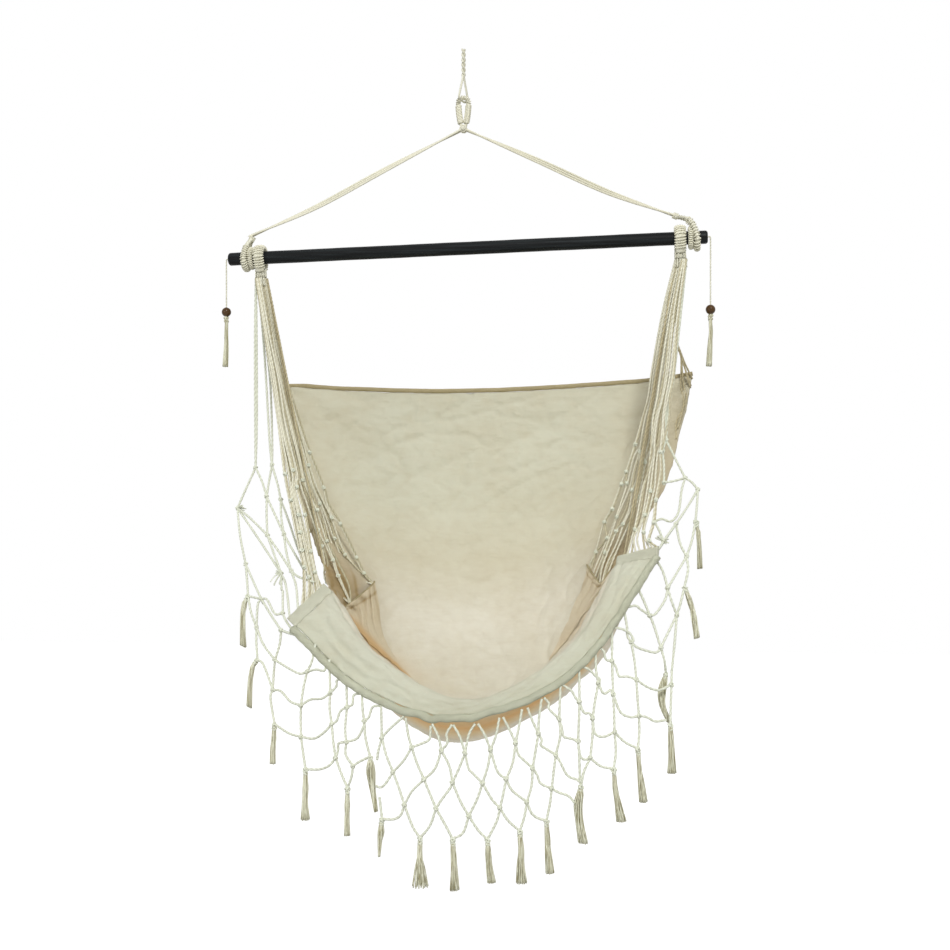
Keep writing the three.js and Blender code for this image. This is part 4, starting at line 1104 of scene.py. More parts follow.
def nearest_depth(u, v):
    """Depth y of the inner side of the seat at a place in the frame."""
    across, down, depths = shown(surface.reshape(-1, 3).T)
    near = np.hypot(across - u, down - v) < 5
    return float(depths[near].max()) if near.any() else 0.0


def pocket_row(side, k):
    row, drawn = POCKETS[side][0][k], POCKETS[side][1]
    return [tuple(seen(u, v, nearest_depth(u, v) - off * ROW_SHARES[k])) for (u, v), off in zip(row, drawn)]


cloth_faces = [
    (k, k + 1, k + ACROSS_COUNT + 2, k + ACROSS_COUNT + 1)
    for i in range(DOWN_COUNT)
    for k in range(i * (ACROSS_COUNT + 1), i * (ACROSS_COUNT + 1) + ACROSS_COUNT)
]
cloth_tree = BVHTree.FromPolygons([Vector(p) for p in surface.reshape(-1, 3)], cloth_faces)
inward = -1 if surface_normals[round(0.4 * DOWN_COUNT), ACROSS_COUNT // 2, 1] > 0 else 1


def inside_cloth(point, clear):
    """The point, brought to the seat's inner side of the canvas where it lies behind it."""
    nearest, _, face, _ = cloth_tree.find_nearest(point)
    normal = Vector(surface_normals[face // ACROSS_COUNT, face % ACROSS_COUNT]).normalized() * inward
    return point if (point - nearest).dot(normal) > clear else nearest + normal * clear


def pocket(side):
    """A flap of canvas drawn up on cords: pleats run from its rim into the seat."""
    wide, deep = 84, 60
    rows = np.array([pocket_row(side, k) for k in range(4)])
    spread = smooth_curve(rows, np.linspace(0, 1, deep + 1))
    spread = smooth_curve(np.swapaxes(spread, 0, 1), np.linspace(0, 1, wide + 1))
    painted_glow_share = 0.9 if side == "left" else 0.12

    def spot(i, j):
        s, t = i / wide, j / deep
        fade = max(0, 1 - t * 1.25)
        fan_out = (s - 0.2) * (1 + 0.5 * t) - t * 0.5
        ripple = fan_out * 24 + 1.4 * math.sin(s * 7 + t * 5)
        lift = 0.01 * math.sin(math.pi * min(1, t * 1.1)) * math.sin(math.pi * s) ** 0.6
        lift += 0.005 * math.sin(ripple) * fade * min(1, t * 7)
        lift += 0.0026 * math.sin(fan_out * 47 + 4 * t + 1) * fade * min(1, t * 6)
        lift += 0.003 * bump_shape(t, 0.05, 0.05) - 0.004 * bump_shape(t, 0.16, 0.035)
        # Painted shade in the pleats and under the rim, and a painted warm glow in the valley beside the flap.
        shadow = 0.55 * max(0, math.sin(ripple + 2.8)) * fade + 0.6 * bump_shape(t, 0.17, 0.03)
        border = 0.2 + (t - 0.45) * 1.5
        glow = painted_glow_share * min(1, max(0, t - 0.12) * 4) / (1 + math.exp((s - border) * 16))
        off = TOWARDS_EYE * float(lift * math.sin(math.pi * min(1, (1 - s) * 3 + 0.05) / 2))
        return inside_cloth(Vector(spread[i, j]) + off, 0.003), (s * 0.2, 0.5 + t * 0.12), float(shadow), glow

    thicken(Piece(f"{side}_seat_pocket", POCKET, [draped(wide, deep, spot)], "canvas").finish("seat"))
    rim = [inside_cloth(Vector(p), 0.004) for p in spaced(rows[0], 0.0016)]
    hem = twisted(rim, 0.0046, 0.02, 0.12, 8)
    Piece(f"{side}_pocket_rim_hem", HEM, [hem], "canvas").finish("seat")


for side in SIDES:
    pocket(side)

# Side cords: a fan from each neck, knotted across, and the open net outside it
# The tables below give places in the camera's frame, with a depth y in metres where there are three numbers


def spots(text):
    """Names of knots as they stand, and places as tuples of numbers."""
    return [word if word[0].isalpha() else tuple(map(float, word.split(","))) for word in text.split()]


def table(text):
    """Runs of spots, each ended by a bar."""
    return [spots(run) for run in text.split("|")]


FAN_LAY = (FAN_CORD, 0.01, 0.22)
SIDE_KNOTS = {
    "left": dict(table("""
        outer 255.6,467.7,-0.012 | high 272,465,-0.02 | outer_low 237.5,508,-0.022 | inner 266.6,496.5,-0.04 |
        mid 280.7,499.3,-0.06 | low 267.3,535,-0.07 | near 283.9,534.3,-0.09 | drop 245.6,564,-0.08 |
        foot 291.2,571,-0.14 | bow 281,573,-0.12
    """)),
    "right": dict(table("""
        high 666,440,-0.04 | side 662.5,451,-0.045 | inner 685.2,478,-0.06 | beside 664,482.5,-0.055 |
        outer_low 697.9,489.3,-0.066 | near 654.4,521.5,-0.13 | low 676,524,-0.14 | tip 695.5,521.5,-0.145 |
        tuft 663.5,541,-0.165 | foot 686.6,556.6,-0.17
    """)),
}
SIDE_RUNS = {
    "left": table("""
        root_0 255,340,0 255.2,420,-0.01 outer | root_1 256.6,340,0.002 256.8,420,-0.008 outer |
        root_2 263.2,338,0 266.2,382,-0.005 269.6,441,-0.015 high |
        root_3 265.2,338,0.003 270.2,382,0 272.2,441,-0.015 high | outer 245,491,-0.018 outer_low |
        outer 262,481.5,-0.03 inner | high 268.6,484,-0.03 inner | high 277.5,484,-0.04 mid |
        mid 281.2,517,-0.075 near | mid 289,522,-0.09 297,546,-0.12 304,563,-0.15 |
        inner 266.6,516,-0.055 low | inner 276,517,-0.065 near | outer_low 250,518,-0.045 low |
        outer_low 258,538,-0.06 bow | outer_low 240,535,-0.05 drop | low 274,554,-0.1 bow |
        low 281,555,-0.1 foot | near 286.5,553,-0.11 foot | near 296,556,-0.12 309,578,-0.17 |
        foot 299,577,-0.16 314,582,-0.19 | foot 296,586,-0.17 sleeve_mid | bow 286,586,-0.16 sleeve_low |
        bow 281.5,590,-0.15 | drop 247,580,-0.1 fringe_foot | drop 254,583,-0.11 263,603,-0.14 fringe_middle
    """),
    "right": table("""
        root_0 674.7,370,0 671,391,-0.01 668.4,412,-0.025 high |
        root_1 672.7,370,0.004 668.6,391,-0.005 666.2,412,-0.02 high | high side | side 664,466,-0.05 beside |
        high 676,460,-0.05 inner | inner 674,481,-0.055 beside | inner 691.5,482,-0.063 outer_low |
        inner 681.7,490,-0.075 678.5,512,-0.11 671.2,521.3,-0.125 662,519,-0.13 near |
        outer_low 697,505,-0.1 tip | outer_low 688,506,-0.1 low | low 670,532,-0.155 tuft |
        low 669,534,-0.15 661,546,-0.17 sleeve_low | low 680,543,-0.15 foot | tip 692,540,-0.155 foot |
        near 659,530,-0.15 tuft | tuft 659,549,-0.18 sleeve_low
    """),
}
BACK_ENDS = {"left": [0.012 + 0.05 * k for k in range(9)], "right": [0.006, 0.024, 0.31, 0.35, 0.39, 0.42, 0.45, 0.48]}
LYING_RUNS = {
    "left": [],
    "right": table("684,388 687,400 683,414 679,426 677,440 | 681,386 684,402 683.5,418 680,432"),
}
# First place across the neck and spread of the roots, for the band's fan and the seat's
ROOTS = {"left": ((-0.9, 0.9), (-0.1, 0.95)), "right": ((0.1, 0.85), (-0.95, 0.95))}
FRAYED = {
    "left": [
        ("outer_low", (1, -0.2, -0.1), 0.02, 3),
        ("bow", (-0.3, -0.2, -1), 0.03, 4),
        ("bow", (-1, -0.2, 0.1), 0.012, 5),
    ],
    "right": [("tuft", (-1, -0.2, 0.6), 0.018, 6), ("tuft", (0.6, -0.2, 0.2), 0.014, 7)],
}
# Each fan's height in the frame with its left and right edges there, and then its knots
FANS = {
    ("left", "band"): ("""
        276,256,262.5 335,264.5,270 379,270.6,279 426,277,288 473,284,298.5 487,286,298 515,291,305
        550,298,312.5 575,303,318
    """, """
        285,474 293,470 297,487 291,500 298.5,514.6 305,514.6 300,532 302,550 311,551 304,567 309,577 315,572
    """),
    ("left", "seat"): ("""
        276,261,266 335,269,277 379,277,288 426,287,301.5 452,293,310.5 485,300,321 503,306,329.5 523,312,339.7
        545,318,348 562,323,361 585,329,375
    """, """
        309.7,452.3 308.7,465 306.2,474 303,480 323.5,487.3 320,503.5 317.2,509.8 331.9,517.5 340.3,523.8
        317.9,530.1 334.7,538.6 327,541 322,546 345.2,554.7 356.4,557.5 333,560 349.4,574.3 338.2,575.7 327,582
        364,573
    """),
    ("right", "band"): ("""
        256,678.5,684 310,670,680.5 370,661,675.5 398,657,670 419,653,668 440,650,666 452,649,661.5
        471,646.5,661 488,642.5,660.5 510,637,656.5 523,633.5,654.4 538,627.5,652
    """, """
        661,452 650.5,491 656,500 645,515 635,529 643.5,532 653.7,522.4 649,540
    """),
    ("right", "seat"): ("""
        256,673.5,679 310,662.5,671.5 370,651.5,664 398,646.6,659 419,641.7,655 444,635.4,652 457,629.8,649
        471,625.6,646 488,620.7,642 509,611.6,637 521.5,604.5,632 542.6,599,623 565,588.4,612
    """, """
        635.4,444.4 640,451.6 643.5,460 626.3,471.7 645,462 626.7,483 621.5,484 637.8,497 632,490 612,509
        616.7,517 604.6,522 616,531 623,524 607,538 605,552.5 596,552
    """),
}
# Heads and feet of the fringe, in millimetres
FRINGE_HEADS = np.array(spots("""
    -299,-229,-1199 -268,-256,-1229 -234,-282,-1257 -197,-307,-1285 -157,-329,-1310 -112,-348,-1329
    -66,-364,-1346 -16,-377,-1357 36,-383,-1359 88,-381,-1351 138,-371,-1335 184,-358,-1314 226,-343,-1288
    264,-327,-1255 296,-309,-1218 324,-290,-1179 349,-270,-1138 373,-250,-1097 395,-227,-1056
""")) / 1000
FRINGE_FEET = np.array(spots("""
    -428,-115,-1131 -391,-175,-1252 -337,-245,-1370 -262,-300,-1445 -190,-330,-1473 -137,-345,-1449
    -94,-357,-1527 -33,-370,-1551 30,-377,-1551 92,-377,-1549 152,-370,-1531 199,-357,-1515 261,-345,-1452
    319,-330,-1423 362,-310,-1389 415,-280,-1334 435,-245,-1225 454,-205,-1109 473,-145,-981
""")) / 1000
# Knots of the fringe, and its cords from knot to knot, from the casing (h) or to a tassel (t)
FRINGE_KNOTS = dict(table("""
    a0 261.3,599 | a1 282.8,612.8 | a2 256.5,627.4 | a3 281.2,630.4 | a4 275,660 | a5 307,671.7 |
    a6 272.8,690 | a7 301,705.4 | a8 330.2,693 | a9 301,736.8 | b0 331.7,724 | b1 347,707 | b2 335.6,758 |
    b3 346.3,742 | b4 364.3,720.7 | b5 353,766 | b6 381.8,737.6 | b7 393,772 | b8 411.7,747.3 | b9 424,779.5 |
    c0 441.3,750.4 | c1 452.5,782.5 | c2 465,753 | c3 482.5,783 | c4 490.6,750 | c5 506.3,778.8 |
    c6 515.6,743 | c7 532.6,768 | c8 538.4,733.5 | c9 555.8,754.9 | d0 404.4,805 | d1 436,808.5 |
    d2 468.8,816 | d3 500,808 | d4 526.9,802 | d5 551.8,788.6 | e0 559.2,719 | e1 578,741 | e2 579.5,702 |
    e3 592.7,718.4 | e4 598.4,683 | e5 613.2,694 | e6 612,661 | e7 636.4,679.5 | e8 631.2,641.8 |
    e9 661,648.3 | f0 580,780.5 | f1 590.3,758 | f2 614.6,732 | f3 639,715.7 | g0 667.8,588 | g1 650,615.6 |
    g2 676.9,615 | g3 671.5,684.5
"""))
FRINGE_RUNS = table("""
    t0 251,612 a2 | t0 a0 | a0 258,603 257.5,613 a2 | a0 267.5,600 275,613.5 a1 | a1 283,601 282.8,590.6 |
    a1 285.8,621 293.5,630.4 299.6,631 | a0 271,615 a3 | a3 298,636 307,643 315.7,645.7 |
    a3 292,633.5 302,634 | a2 256.6,642 t1 | a2 263,644 a4 | a3 280,644 a4 | a4 273.3,674 a6 | t1 264,665 a6 |
    a4 290,669 299.6,673 a5 | h315.5,647 312,662 a5 | a5 316,669.5 324,670 326.4,662 |
    a6 281,691 290.4,702 a7 | a5 303.5,690 a7 | a7 310,700 322,698 a8 | h329.4,662.6 a8 |
    a8 336.3,686.5 337,680 345,680.5 | a6 270.6,698 t2 | t2 289,733 a9 | a7 300,721 a9 |
    a9 313.4,738.3 324,733 b0 | a8 330,708 b0 | b0 337,720.7 340.5,711.5 b1 | h346.3,682.5 b1 |
    b1 353,704 353.4,695.5 361,693.4 | a9 303.4,752 t3 | t3 318,769.7 328.7,765 b2 | b0 333.3,744 b2 |
    b2 337.5,751 338.6,743.7 b3 | b1 345.5,728 b3 | b3 357,738 363.5,727 b4 | h361.6,694.7 363,712 b4 |
    b4 369,717 372.5,707 380,705.8 | b2 341,773 t4 | b3 345.8,754.4 b5 | b5 351.5,777 t4 | b5 359,761.5 t5 |
    b4 364.9,738 t5 | h381,708 b6 | h404,719.5 391,728 b6 | b6 379,751 377,760 | b6 386.8,754 b7 |
    b7 386.5,782 381,787 376,786 | b8 404,760 b7 | h405.6,721 408.3,736 b8 | h430.6,729 429,739 423,743 b8 |
    h432,727 438,736.5 c0 | b8 417,762 b9 | c0 434.5,768 b9 | h451.9,728 446.5,734 447.5,743 c0 |
    h453,728 459.5,736.5 c2 | h475,727 469.5,734 c2 | h478,727 484.5,735 c4 | h499.4,721 496.5,735 c4 |
    h503,720.5 509.5,730 c6 | h522,712.5 518.3,728 c6 | h527.5,711 533,722 c8 | h541.6,702 539.5,718 c8 |
    c0 449,766 c1 | c2 458.5,769 c1 | c2 468.7,768.5 472.5,773 c3 | c4 488.5,767 c3 | c4 497.5,771 c5 |
    c6 512.5,762 c5 | c6 518.5,754 523,760 c7 | c8 535.5,754 c7 | b7 398.5,788 d0 | b9 412,791.5 d0 |
    b9 431,795 d1 | c1 450.5,789 441,800 d1 | c1 461,801 d2 | c3 477,798.5 d2 | c3 492,799 d3 |
    c5 502.5,795 d3 | c5 511.5,790.5 d4 | c7 531,785 d4 | c7 537.6,775.5 540.5,783.5 d5 |
    c8 542,740 540.3,745.4 547,748.5 c9 | h544,701 549,703 549,709 e0 | h560.5,689 560,704 e0 | e0 560,735 c9 |
    e0 562.5,729 564,736 571.5,738.5 e1 | h562.6,688 571,690.5 575.5,697 e2 | h579.2,670 e2 | e2 579.5,722 e1 |
    e2 582,709 585.5,713 590,713.5 e3 | h580,669.5 588,668.5 596,675.5 600.5,680 e4 | h595.7,654 596.2,670 e4 |
    e4 594.5,702 e3 | e4 604,694 611.5,690 e5 | h598.4,650 604,651.5 606,660 e6 | h612,633 e6 |
    e6 612.8,679 e5 | e6 616.3,667.5 619.5,676.5 628,676.5 e7 | e8 634,660 e7 |
    h624,613 626.7,626.7 628,636 e8 | h612,631 621,628 629,633.3 633.5,640 e8 | e8 638,648 655,652 e9 |
    e7 646.7,686.7 659,690 g3 | g1 654.5,629 e9 | h636.7,589 642.5,599 g1 | h625,611 635.6,605.6 641,609.5 g1 |
    g0 664.7,600 655.5,614 g1 | g0 671,601 g2 | f_ring 663,571 g0 | foot 677,573 g0 | foot 688.5,570 t17 |
    t17 681,603 g2 | g2 664,641 e9 | g2 674,645 671.8,671 | e9 664,660 t16 | 671.8,671 g3 | g3 670.8,706 t15 |
    e7 638,700 f3 | e5 620,712 630.5,717 f3 | f3 647,717 655,720.5 666.5,720 | e5 614.3,712 f2 |
    e3 595.5,733 604,736.8 f2 | e3 592.5,735 f1 | e1 579.5,755 f0 | e1 580.5,755.5 585,760 f1 |
    c9 560.5,762 567.5,775 f0 | c9 553.8,772 d5 | d5 559,792.7 568.6,796.8 575,803.5 | d5 550.4,804 t11 |
    d4 532,813 538,818.5 t11 | d4 524,816 t10 | d3 508,820 t10 | d3 497.5,821 t9 | d2 478,830.5 t9 |
    d2 462.5,832 t8 | d1 446,827 t8 | d1 430.5,826 t7 | d0 413,825.5 t7 | d0 401,815 393,819.5 t6 |
    379.5,797 t6 | f0 t12 | f1 584.5,772 t12 | f1 600,765.5 t13 | f2 616.5,752 t13 | f2 625,742.5 t14 |
    f3 639.5,734 t14
""")
# Tassels from left to right: head, middle and tip, then the radius at the head and the tip in metres
TASSELS = table("""
    248,596 242.5,607 243,646.5 0.006,0.0068 | 257.5,659.5 251,669 249,707 0.0056,0.006 |
    274.5,724 273,744 272.5,764 0.0056,0.0056 | 305.5,769 305,795 305,820 0.0056,0.0085 |
    347.5,788 347,812 347,836 0.0052,0.0056 | 370,756.5 371,780 376,812 0.0095,0.0036 |
    382,819 380,838 379,857 0.0068,0.0022 | 420,838 419.5,862 420,887 0.0062,0.0145 |
    452.5,839 454,865 454.5,890.5 0.0062,0.0085 | 487.5,839.5 488.5,861 491.5,883 0.0062,0.0078 |
    519.8,831 521,857 521.5,883.5 0.0062,0.0098 | 546.5,820.5 547.5,847 550,873.6 0.0056,0.0078 |
    581,786 577.5,813 583,843.5 0.009,0.0088 | 613.7,769 616,795 621.5,822 0.0052,0.009 |
    637.8,748.5 640,775 643.5,802.5 0.0052,0.0075 | 670.3,724.5 671.5,749 672,773.5 0.0062,0.0082 |
    666,674 660,699 669.5,723 0.0088,0.0056 | 684.5,587 692,606 697,638.5 0.0056,0.0056 |
    696,521.5 698.8,536 700,569 0.0046,0.0052
""")


def on_fringe(column, fall):
    share = np.array([column / (TASSEL_COUNT - 1)])
    head, foot = smooth_curve(FRINGE_HEADS, share)[0], smooth_curve(FRINGE_FEET, share)[0]
    return Vector(head + (foot - head) * fall)


fringe_spots = [on_fringe(c, f) for c in np.linspace(0, TASSEL_COUNT - 1, 145) for f in np.linspace(-0.04, 1.04, 28)]
fringe_places = np.array([shown(p) for p in fringe_spots])


def hung(u, v):
    """The point of the fringe's surface that is seen at a place in the frame."""
    nearest = np.argmin(np.hypot(fringe_places[:, 0] - u, fringe_places[:, 1] - v))
    return seen(u, v, fringe_places[nearest, 2])


def frayed(piece, place, away, length, seed):
    """A short unlaid cord end beside a knot."""
    draws = random.Random(seed)
    for k in range(7):
        spread = any_way(draws) * 0.45
        tip = place + (Vector(away) + spread).normalized() * (length * draws.uniform(0.7, 1))
        middle = place.lerp(tip, 0.5) + spread * (0.2 * length)
        piece.add(plain(spaced([place, middle, tip], 0.0025), 0.0024, 5))


def fan_group(side, group, roots, ends, net):
    """Cords side by side from the neck to their ends, tied to a neighbour at each listed knot."""
    rows, knots = map(spots, FANS[side, group])
    heights = [row[0] for row in rows]
    count = len(roots)
    starts, stops = [shown(p) for p in roots], [shown(p) for p in ends]

    def edges(v):
        return [float(np.interp(v, heights, [row[k] for row in rows])) for k in (1, 2)]

    def depth(i, v):
        share = (v - starts[i][1]) / (stops[i][1] - starts[i][1])
        behind = 0.005 if i % 3 == 1 else -0.0016 * (i % 2)
        return starts[i][2] + (stops[i][2] - starts[i][2]) * share + behind * math.sin(math.pi * share)

    tied = [[] for cord in roots]
    for k, (u, v) in enumerate(knots):
        low, high = edges(v)
        i = int(np.clip((u - low) / (high - low) * count - 0.5, 0, count - 2))
        y = (depth(i, v) + depth(i + 1, v)) / 2 - 0.003
        net.add(round_knot(seen(u, v, y - 0.003), 0.0055, 0.004, k * 13 + 5))
        tied[i].append((u - 0.7, v, y))
        tied[i + 1].append((u + 0.7, v, y))
    for i in range(count):
        run = list(tied[i])
        for v in heights[1:]:
            if starts[i][1] + 8 < v < stops[i][1] - 10 and all(abs(v - other[1]) > 13 for other in tied[i]):
                low, high = edges(v)
                loose = 0.9 if v < 400 or side == "left" else 2.4
                wander = chance.uniform(-loose, loose)
                run.append((low + (high - low) * (i + 0.5) / count + wander, v, depth(i, v)))
        run.sort(key=lambda spot: spot[1])
        path = spaced([roots[i]] + [seen(*spot) for spot in run] + [ends[i]], 0.003)
        # Every third cord takes the darker copy, as painted shade between the cords.
        cord = Piece(f"{side}_{group}_fan_cord_{i + 1:02d}", FAN_IN_SHADE if i % 3 == 1 else FAN)
        cord.add(twisted(path, *FAN_LAY))
        made = cord.finish("seat")


def side_cords(side):
    """The back cords, the corner cord, the two fans, the open net and the gathered neck of one side."""
    left = side == "left"
    edge, outer = EDGE[side], SIGN[side]
    top_up = -LOOP_DROP - NECK_HEIGHT - GAP
    clear = FAN_CORD / 2 + 3 * GAP
    sleeve_start, sleeve_end = sleeve_ends(side)
    out = (sleeve_start.lerp(sleeve_end, 0.5) - canvas_point(abs(edge - 0.04), (1 + RIDGE) / 2)).normalized()
    rim = np.array(pocket_row(side, 0))

    def root(across, back):
        """A place on the neck's lower face, from -1 at the left and the front to 1."""
        low = on_bar(LOOP_SHARES[side], back * NECK_THICKNESS * 0.42, top_up - 0.001)
        return low + ALONG * (across * NECK_WIDTH * 0.42)

    def on_sleeve(along):
        return sleeve_start.lerp(sleeve_end, along) + out * (SLEEVE_WIDTH / 2 + clear - 0.004)

    def canvas_end(down):
        point = canvas_point(edge, down)
        return point + (point - canvas_point(abs(edge - 0.04), down)).normalized() * (clear * 0.4)

    def on_rim(share):
        return Vector(smooth_curve(rim, np.array([share]))[0])

    back = Piece(f"{side}_back_fan_cords", SHADED)
    for k, down in enumerate(BACK_ENDS[side]):
        behind = [] if left or down > 0.1 else [seen(677 - k, 334, 0.165), seen(682 - k, 356, 0.21)]
        path = spaced([root(-outer * (-0.3 + 0.16 * k), 0.8)] + behind + [canvas_end(down)], 0.004)
        back.add(twisted(path, *FAN_LAY))
    for run in LYING_RUNS[side]:
        lying = [root(0.3, 0.7), seen(677, 334, 0.165), seen(681, 358, 0.213)]
        lying += [inside_cloth(seen(u, v, nearest_depth(u, v)), 0.004) for u, v in run]
        back.add(twisted(spaced(lying, 0.004), FAN_CORD * 0.9, 0.01, 0.22))
    back.finish("seat")

    behind = [] if left else [seen(676, 332, 0.162), seen(681, 354, 0.208)]
    path = spaced([root(-outer * 0.5, 0.5)] + behind + [canvas_end(0.03)], 0.006)
    corner = Piece(f"{side}_corner_cord", SHADED, [twisted(path, *FAN_LAY)])
    corner.finish("seat")

    net = Piece(f"{side}_net_knots", NETTING)
    band = list(enumerate(np.linspace(0, 1, 11 if left else 8)))
    seat = list(enumerate(np.linspace(0, 1, 11 if left else 9)))
    if left:
        band_ends = [on_sleeve(0.62 - 0.56 * t) for k, t in band]
        seat_ends = [on_rim((0.16 if t < 0.45 else 0.84) + 0.07 * t) for k, t in seat]
    else:
        band_ends = [on_sleeve(0.14 + 0.8 * t) for k, t in band]
        seat_ends = [on_rim(0.98 - 0.75 * t) for k, t in seat]
    (band_first, band_spread), (seat_first, seat_spread) = ROOTS[side]
    band_roots = [root(band_first + band_spread * t, -0.3 - 0.5 * (k % 2)) for k, t in band]
    seat_roots = [root(seat_first + seat_spread * t, -0.1 + 0.5 * (k % 2)) for k, t in seat]
    fan_group(side, "band", band_roots, band_ends, net)
    fan_group(side, "seat", seat_roots, seat_ends, net)

    knots = {name: seen(*spot) for name, spot in SIDE_KNOTS[side].items()}
    for name, knot in knots.items():
        net.add(round_knot(knot, 0.006, 0.0042, len(name) * 7))
    for k, (across, behind) in enumerate(((1, 0.2), (0.9, -0.3), (0.62, 0), (0.5, 0.6))):
        knots[f"root_{k}"] = root(outer * across, behind)
    knots["fringe_foot"] = hung(248, 596) if left else hung(684.5, 587)
    knots["fringe_middle"] = hung(261.3, 599) if left else hung(667.8, 588)
    knots["sleeve_mid"], knots["sleeve_low"] = on_sleeve(0.72), on_sleeve(0.95)
    for run in SIDE_RUNS[side]:
        points = [knots[spot] if isinstance(spot, str) else seen(*spot) for spot in run]
        net.add(twisted(spaced(points, 0.0026), FAN_CORD * 1.2, 0.009, 0.22))
    for name, away, length, seed in FRAYED[side]:
        frayed(net, knots[name], away, length, seed)
    net.finish("seat", f"{side}_side_cords")

    gather = Piece(f"{side}_neck_gather", ROPE)
    for x, y in bundled(26):
        offset = ALONG * (x * 0.0118) + BACK * (y * 0.009)
        high = on_bar(LOOP_SHARES[side], 0, top_up) + offset
        low = high - BAR_UP * (3 * FAN_CORD + 0.004) + offset * 0.1
        gather.add(twisted(spaced([high, low], 0.003), 0.0036))
    gather.finish("seat")


for side in SIDES:
    side_cords(side)

# Fringe: a net of knotted cords on the surface that the solid net has, with its tassels


def fringe(tassel_heads):
    knots = {name: hung(*place) for name, place in FRINGE_KNOTS.items()}
    named = knots | {f"t{k}": head for k, head in enumerate(tassel_heads)}
    named |= {"foot": seen(*SIDE_KNOTS["right"]["foot"]), "f_ring": hung(655.5, 559)}

    def point(spot):
        """A named knot, a head on the casing from its place after an h, or a place between them."""
        if not isinstance(spot, str):
            return hung(*spot)
        if spot[0] == "h":
            return hung(*map(float, spot[1:].split(","))) + UP * 0.006
        return named[spot]

    net = Piece("fringe_knotted_net", NETTING)
    for run in FRINGE_RUNS:
        points = [point(spot) for spot in run]
        for k in range(1, len(points) - 1):
            drift = Vector((chance.uniform(-1, 1), chance.uniform(-2, 1), chance.uniform(-1, 1)))
            points[k] = points[k] + drift * 0.0012
        net.add(twisted(spaced(points, 0.0026), NET_CORD, 0.009, 0.24))
    for name, knot in knots.items():
        net.add(round_knot(knot - BACK * 0.001, 0.006, 0.0042, sum(map(ord, name))))
    net.finish("seat", "fringe_net")


def tassel(piece, ties, head, middle, tip, radii, seed, strands=28):
    """A bundle of threads round a core, bound below a round knot."""
    draws = random.Random(seed)
    head_radius, tip_radius = radii
    length = (tip - head).length
    first = (middle - head).normalized()
    across = first.orthogonal().normalized()
    other = first.cross(across)
    ties.add(round_knot(head + first * 0.002, 0.0066, 0.0044, seed))
    ties.add(round_knot(head + first * 0.0085, 0.006, 0.0042, seed + 3))
    for x, y in bundled(strands):
        out = across * x + other * y
        wander = Vector((draws.uniform(-1, 1), draws.uniform(-1, 1), 0)) * 0.0012
        drop = draws.uniform(0.985, 1.0)
        points = [
            head + first * 0.003 + out * 0.0026,
            head + first * 0.016 + out * (head_radius - 0.0011) * 0.85,
            head.lerp(middle, 0.75) + out * (head_radius - 0.0011) + wander,
            middle.lerp(tip, 0.3) + out * ((head_radius + tip_radius) / 2 - 0.0011) - wander,
            head.lerp(tip, drop) + out * (tip_radius * 1.2 - 0.0011),
        ]
        piece.add(plain(spaced(points, length / 14), TASSEL_THREAD, 5))
    core = spaced([head + first * 0.004, middle, middle.lerp(tip, 0.9)], length / 12)
    width = (head_radius + tip_radius) * 0.5
    piece.add(plain(core, width, 8, lambda share: 0.7 + 0.3 * math.sin(math.pi * min(share, 0.6))))


fringe_tassels = Piece("fringe_tassel_threads", LOOSE, slot="tassel_cotton")
fringe_ties = Piece("fringe_tassel_knots", NETTING)
tassel_nodes = [f"tassel_{k + 1:02d}" for k in range(TASSEL_COUNT)]
tassel_heads = []
for k, node in enumerate(tassel_nodes):
    low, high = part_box(node)
    head, middle, tip = (seen(*place, (low.y + high.y) / 2) for place in TASSELS[k][:3])
    tassel_heads.append(head)
    tassel(fringe_tassels, fringe_ties, head, middle, tip, TASSELS[k][3], 40 + k)
fringe_tassels.finish("seat", *tassel_nodes)
fringe_ties.finish("seat")
fringe(tassel_heads)

# Pendants: a string out of the bar's bored end, a bead and a tassel

BEAD_RADIUS = 0.01
BEAD_BORE = math.asin(0.0023 / BEAD_RADIUS)
PENDANT_DROPS = {"left": 0.102, "right": 0.138}


def pendant(side):
    sign, drop = SIGN[side], PENDANT_DROPS[side]
    end = on_bar(sign, 0, 0)
    hang = end + ALONG * (sign * 0.0055)
    bead_top = end.z - drop
    points = [end + ALONG * (sign * reach) for reach in (-0.0114, -0.0055, 0.0033)]
    for z in (end.z - 0.0055, end.z - drop / 2, bead_top, bead_top - 0.0203):
        points.append(Vector((hang.x, 0, z)))
    path = spaced(points, 0.002)
    string = Piece(f"{side}_pendant_string", ROPE, [twisted(path, 0.0034, 0.007, sides=8)])
    made = string.finish(f"{side}_pendant", f"{side}_pendant_cord")
    angles = np.linspace(BEAD_BORE, math.pi - BEAD_BORE, 17)
    bead = lathed([(BEAD_RADIUS * math.sin(a), -BEAD_RADIUS * math.cos(a)) for a in angles], 32, 1e-6, True)
    bmesh.ops.translate(bead, verts=bead.verts[:], vec=(hang.x, 0, bead_top - BEAD_RADIUS))
    turned_bead = Piece(f"{side}_turned_bead", BEAD_WOOD, [bead], "bead_wood")
    turned_bead.finish(f"{side}_pendant", f"{side}_pendant_bead")
    threads = Piece(f"{side}_pendant_threads", LOOSE, slot="tassel_cotton")
    head = Vector((hang.x, 0, bead_top - 0.0206))
    tip = head - UP * 0.106 - ALONG * 0.003
    tassel(threads, threads, head, head - UP * 0.05, tip, (0.0045, 0.0055), 90 + sign, 26)
    threads.finish(f"{side}_pendant", f"{side}_pendant_tassel")


for side in SIDES:
    pendant(side)

# Stage: a white surround that lights less than it shows, a plain pale floor and soft studio lamps

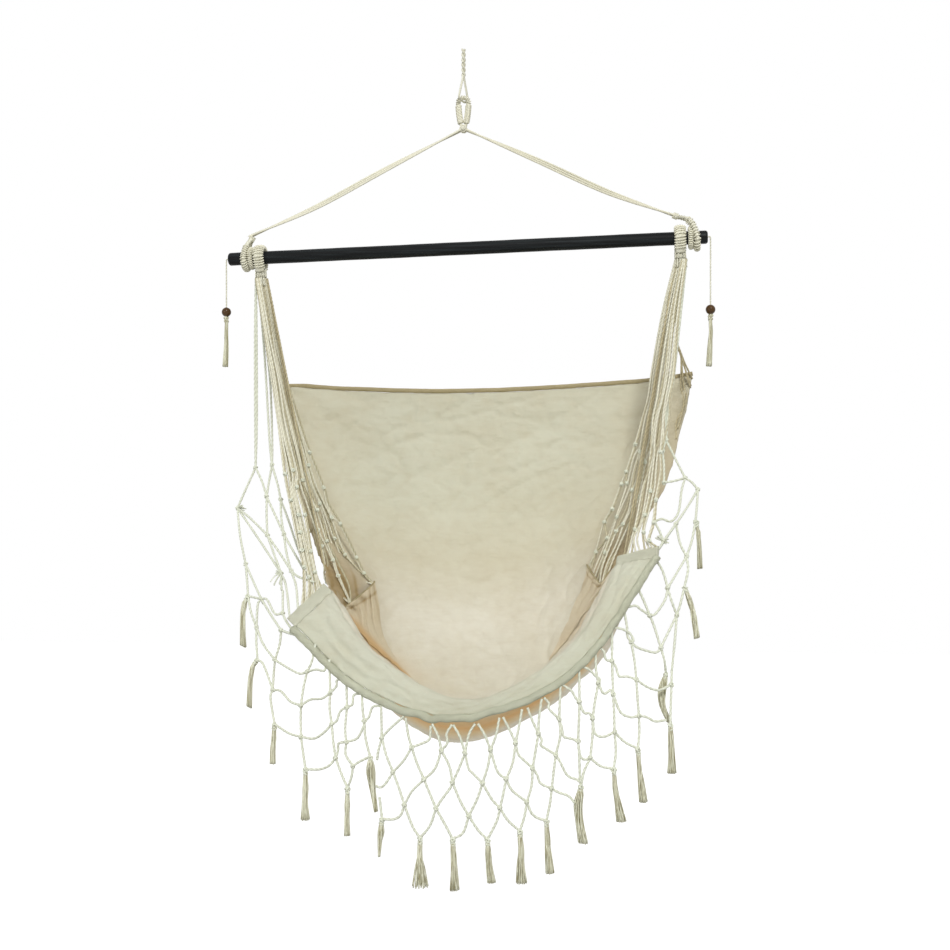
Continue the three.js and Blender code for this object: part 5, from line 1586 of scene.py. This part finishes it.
world = bpy.data.worlds.new("studio")
bpy.context.scene.world = world
world.use_nodes = True
nodes, links = world.node_tree.nodes, world.node_tree.links
background = nodes["Background"]
background.inputs["Color"].default_value = (1, 1, 1, 1)
rays = nodes.new("ShaderNodeLightPath")
shows = rays.outputs["Is Camera Ray"]
for kind in ("Is Glossy Ray", "Is Transmission Ray"):
    either = nodes.new("ShaderNodeMath")
    either.operation = "MAXIMUM"
    links.new(shows, either.inputs[0])
    links.new(rays.outputs[kind], either.inputs[1])
    shows = either.outputs[0]
strength = nodes.new("ShaderNodeMapRange")
strength.inputs["To Min"].default_value = 0.6
strength.inputs["To Max"].default_value = 1.0
links.new(shows, strength.inputs["Value"])
links.new(strength.outputs["Result"], background.inputs["Strength"])

floor_mesh = bmesh.new()
bmesh.ops.create_grid(floor_mesh, x_segments=4, y_segments=4, size=7)
bmesh.ops.translate(floor_mesh, verts=floor_mesh.verts[:], vec=(0, 0, -2.1))
floor_data = bpy.data.meshes.new("floor")
floor_mesh.to_mesh(floor_data)
floor_mesh.free()
floor = bpy.data.objects.new("floor", floor_data)
bpy.context.scene.collection.objects.link(floor)
paint = Finish("floor_paint", 0.9)
paint.fix({"Base Color": (0.45, 0.45, 0.44, 1), "Emission Strength": 0.8})
direct = paint.node("LightPath", {})
any_seen = (direct + direct.beside("Is Glossy Ray") + direct.beside("Is Transmission Ray")).clamped()
paint.feed("Emission Color", paint.mix(any_seen, (0, 0, 0), (255, 255, 255)))
floor_data.materials.append(paint.material)

SEAT_MIDDLE = Vector((0, 0, -0.9))
for name, place, size, power in (
    ("key_lamp", (2.0, -7.4, 4.4), 1.6, 450),
    ("fill_lamp", (-5.2, -7.4, 0.4), 4.0, 100),
    ("low_lamp", (0.8, -7.0, -3.6), 3.0, 260),
):
    data = bpy.data.lights.new(name, "AREA")
    data.shape, data.size, data.energy = "DISK", size, power
    lamp = bpy.data.objects.new(name, data)
    lamp.location = place
    lamp.rotation_euler = (SEAT_MIDDLE - Vector(place)).to_track_quat("-Z", "Y").to_euler()
    bpy.context.scene.collection.objects.link(lamp)

bpy.context.scene.view_settings.view_transform = "Standard"
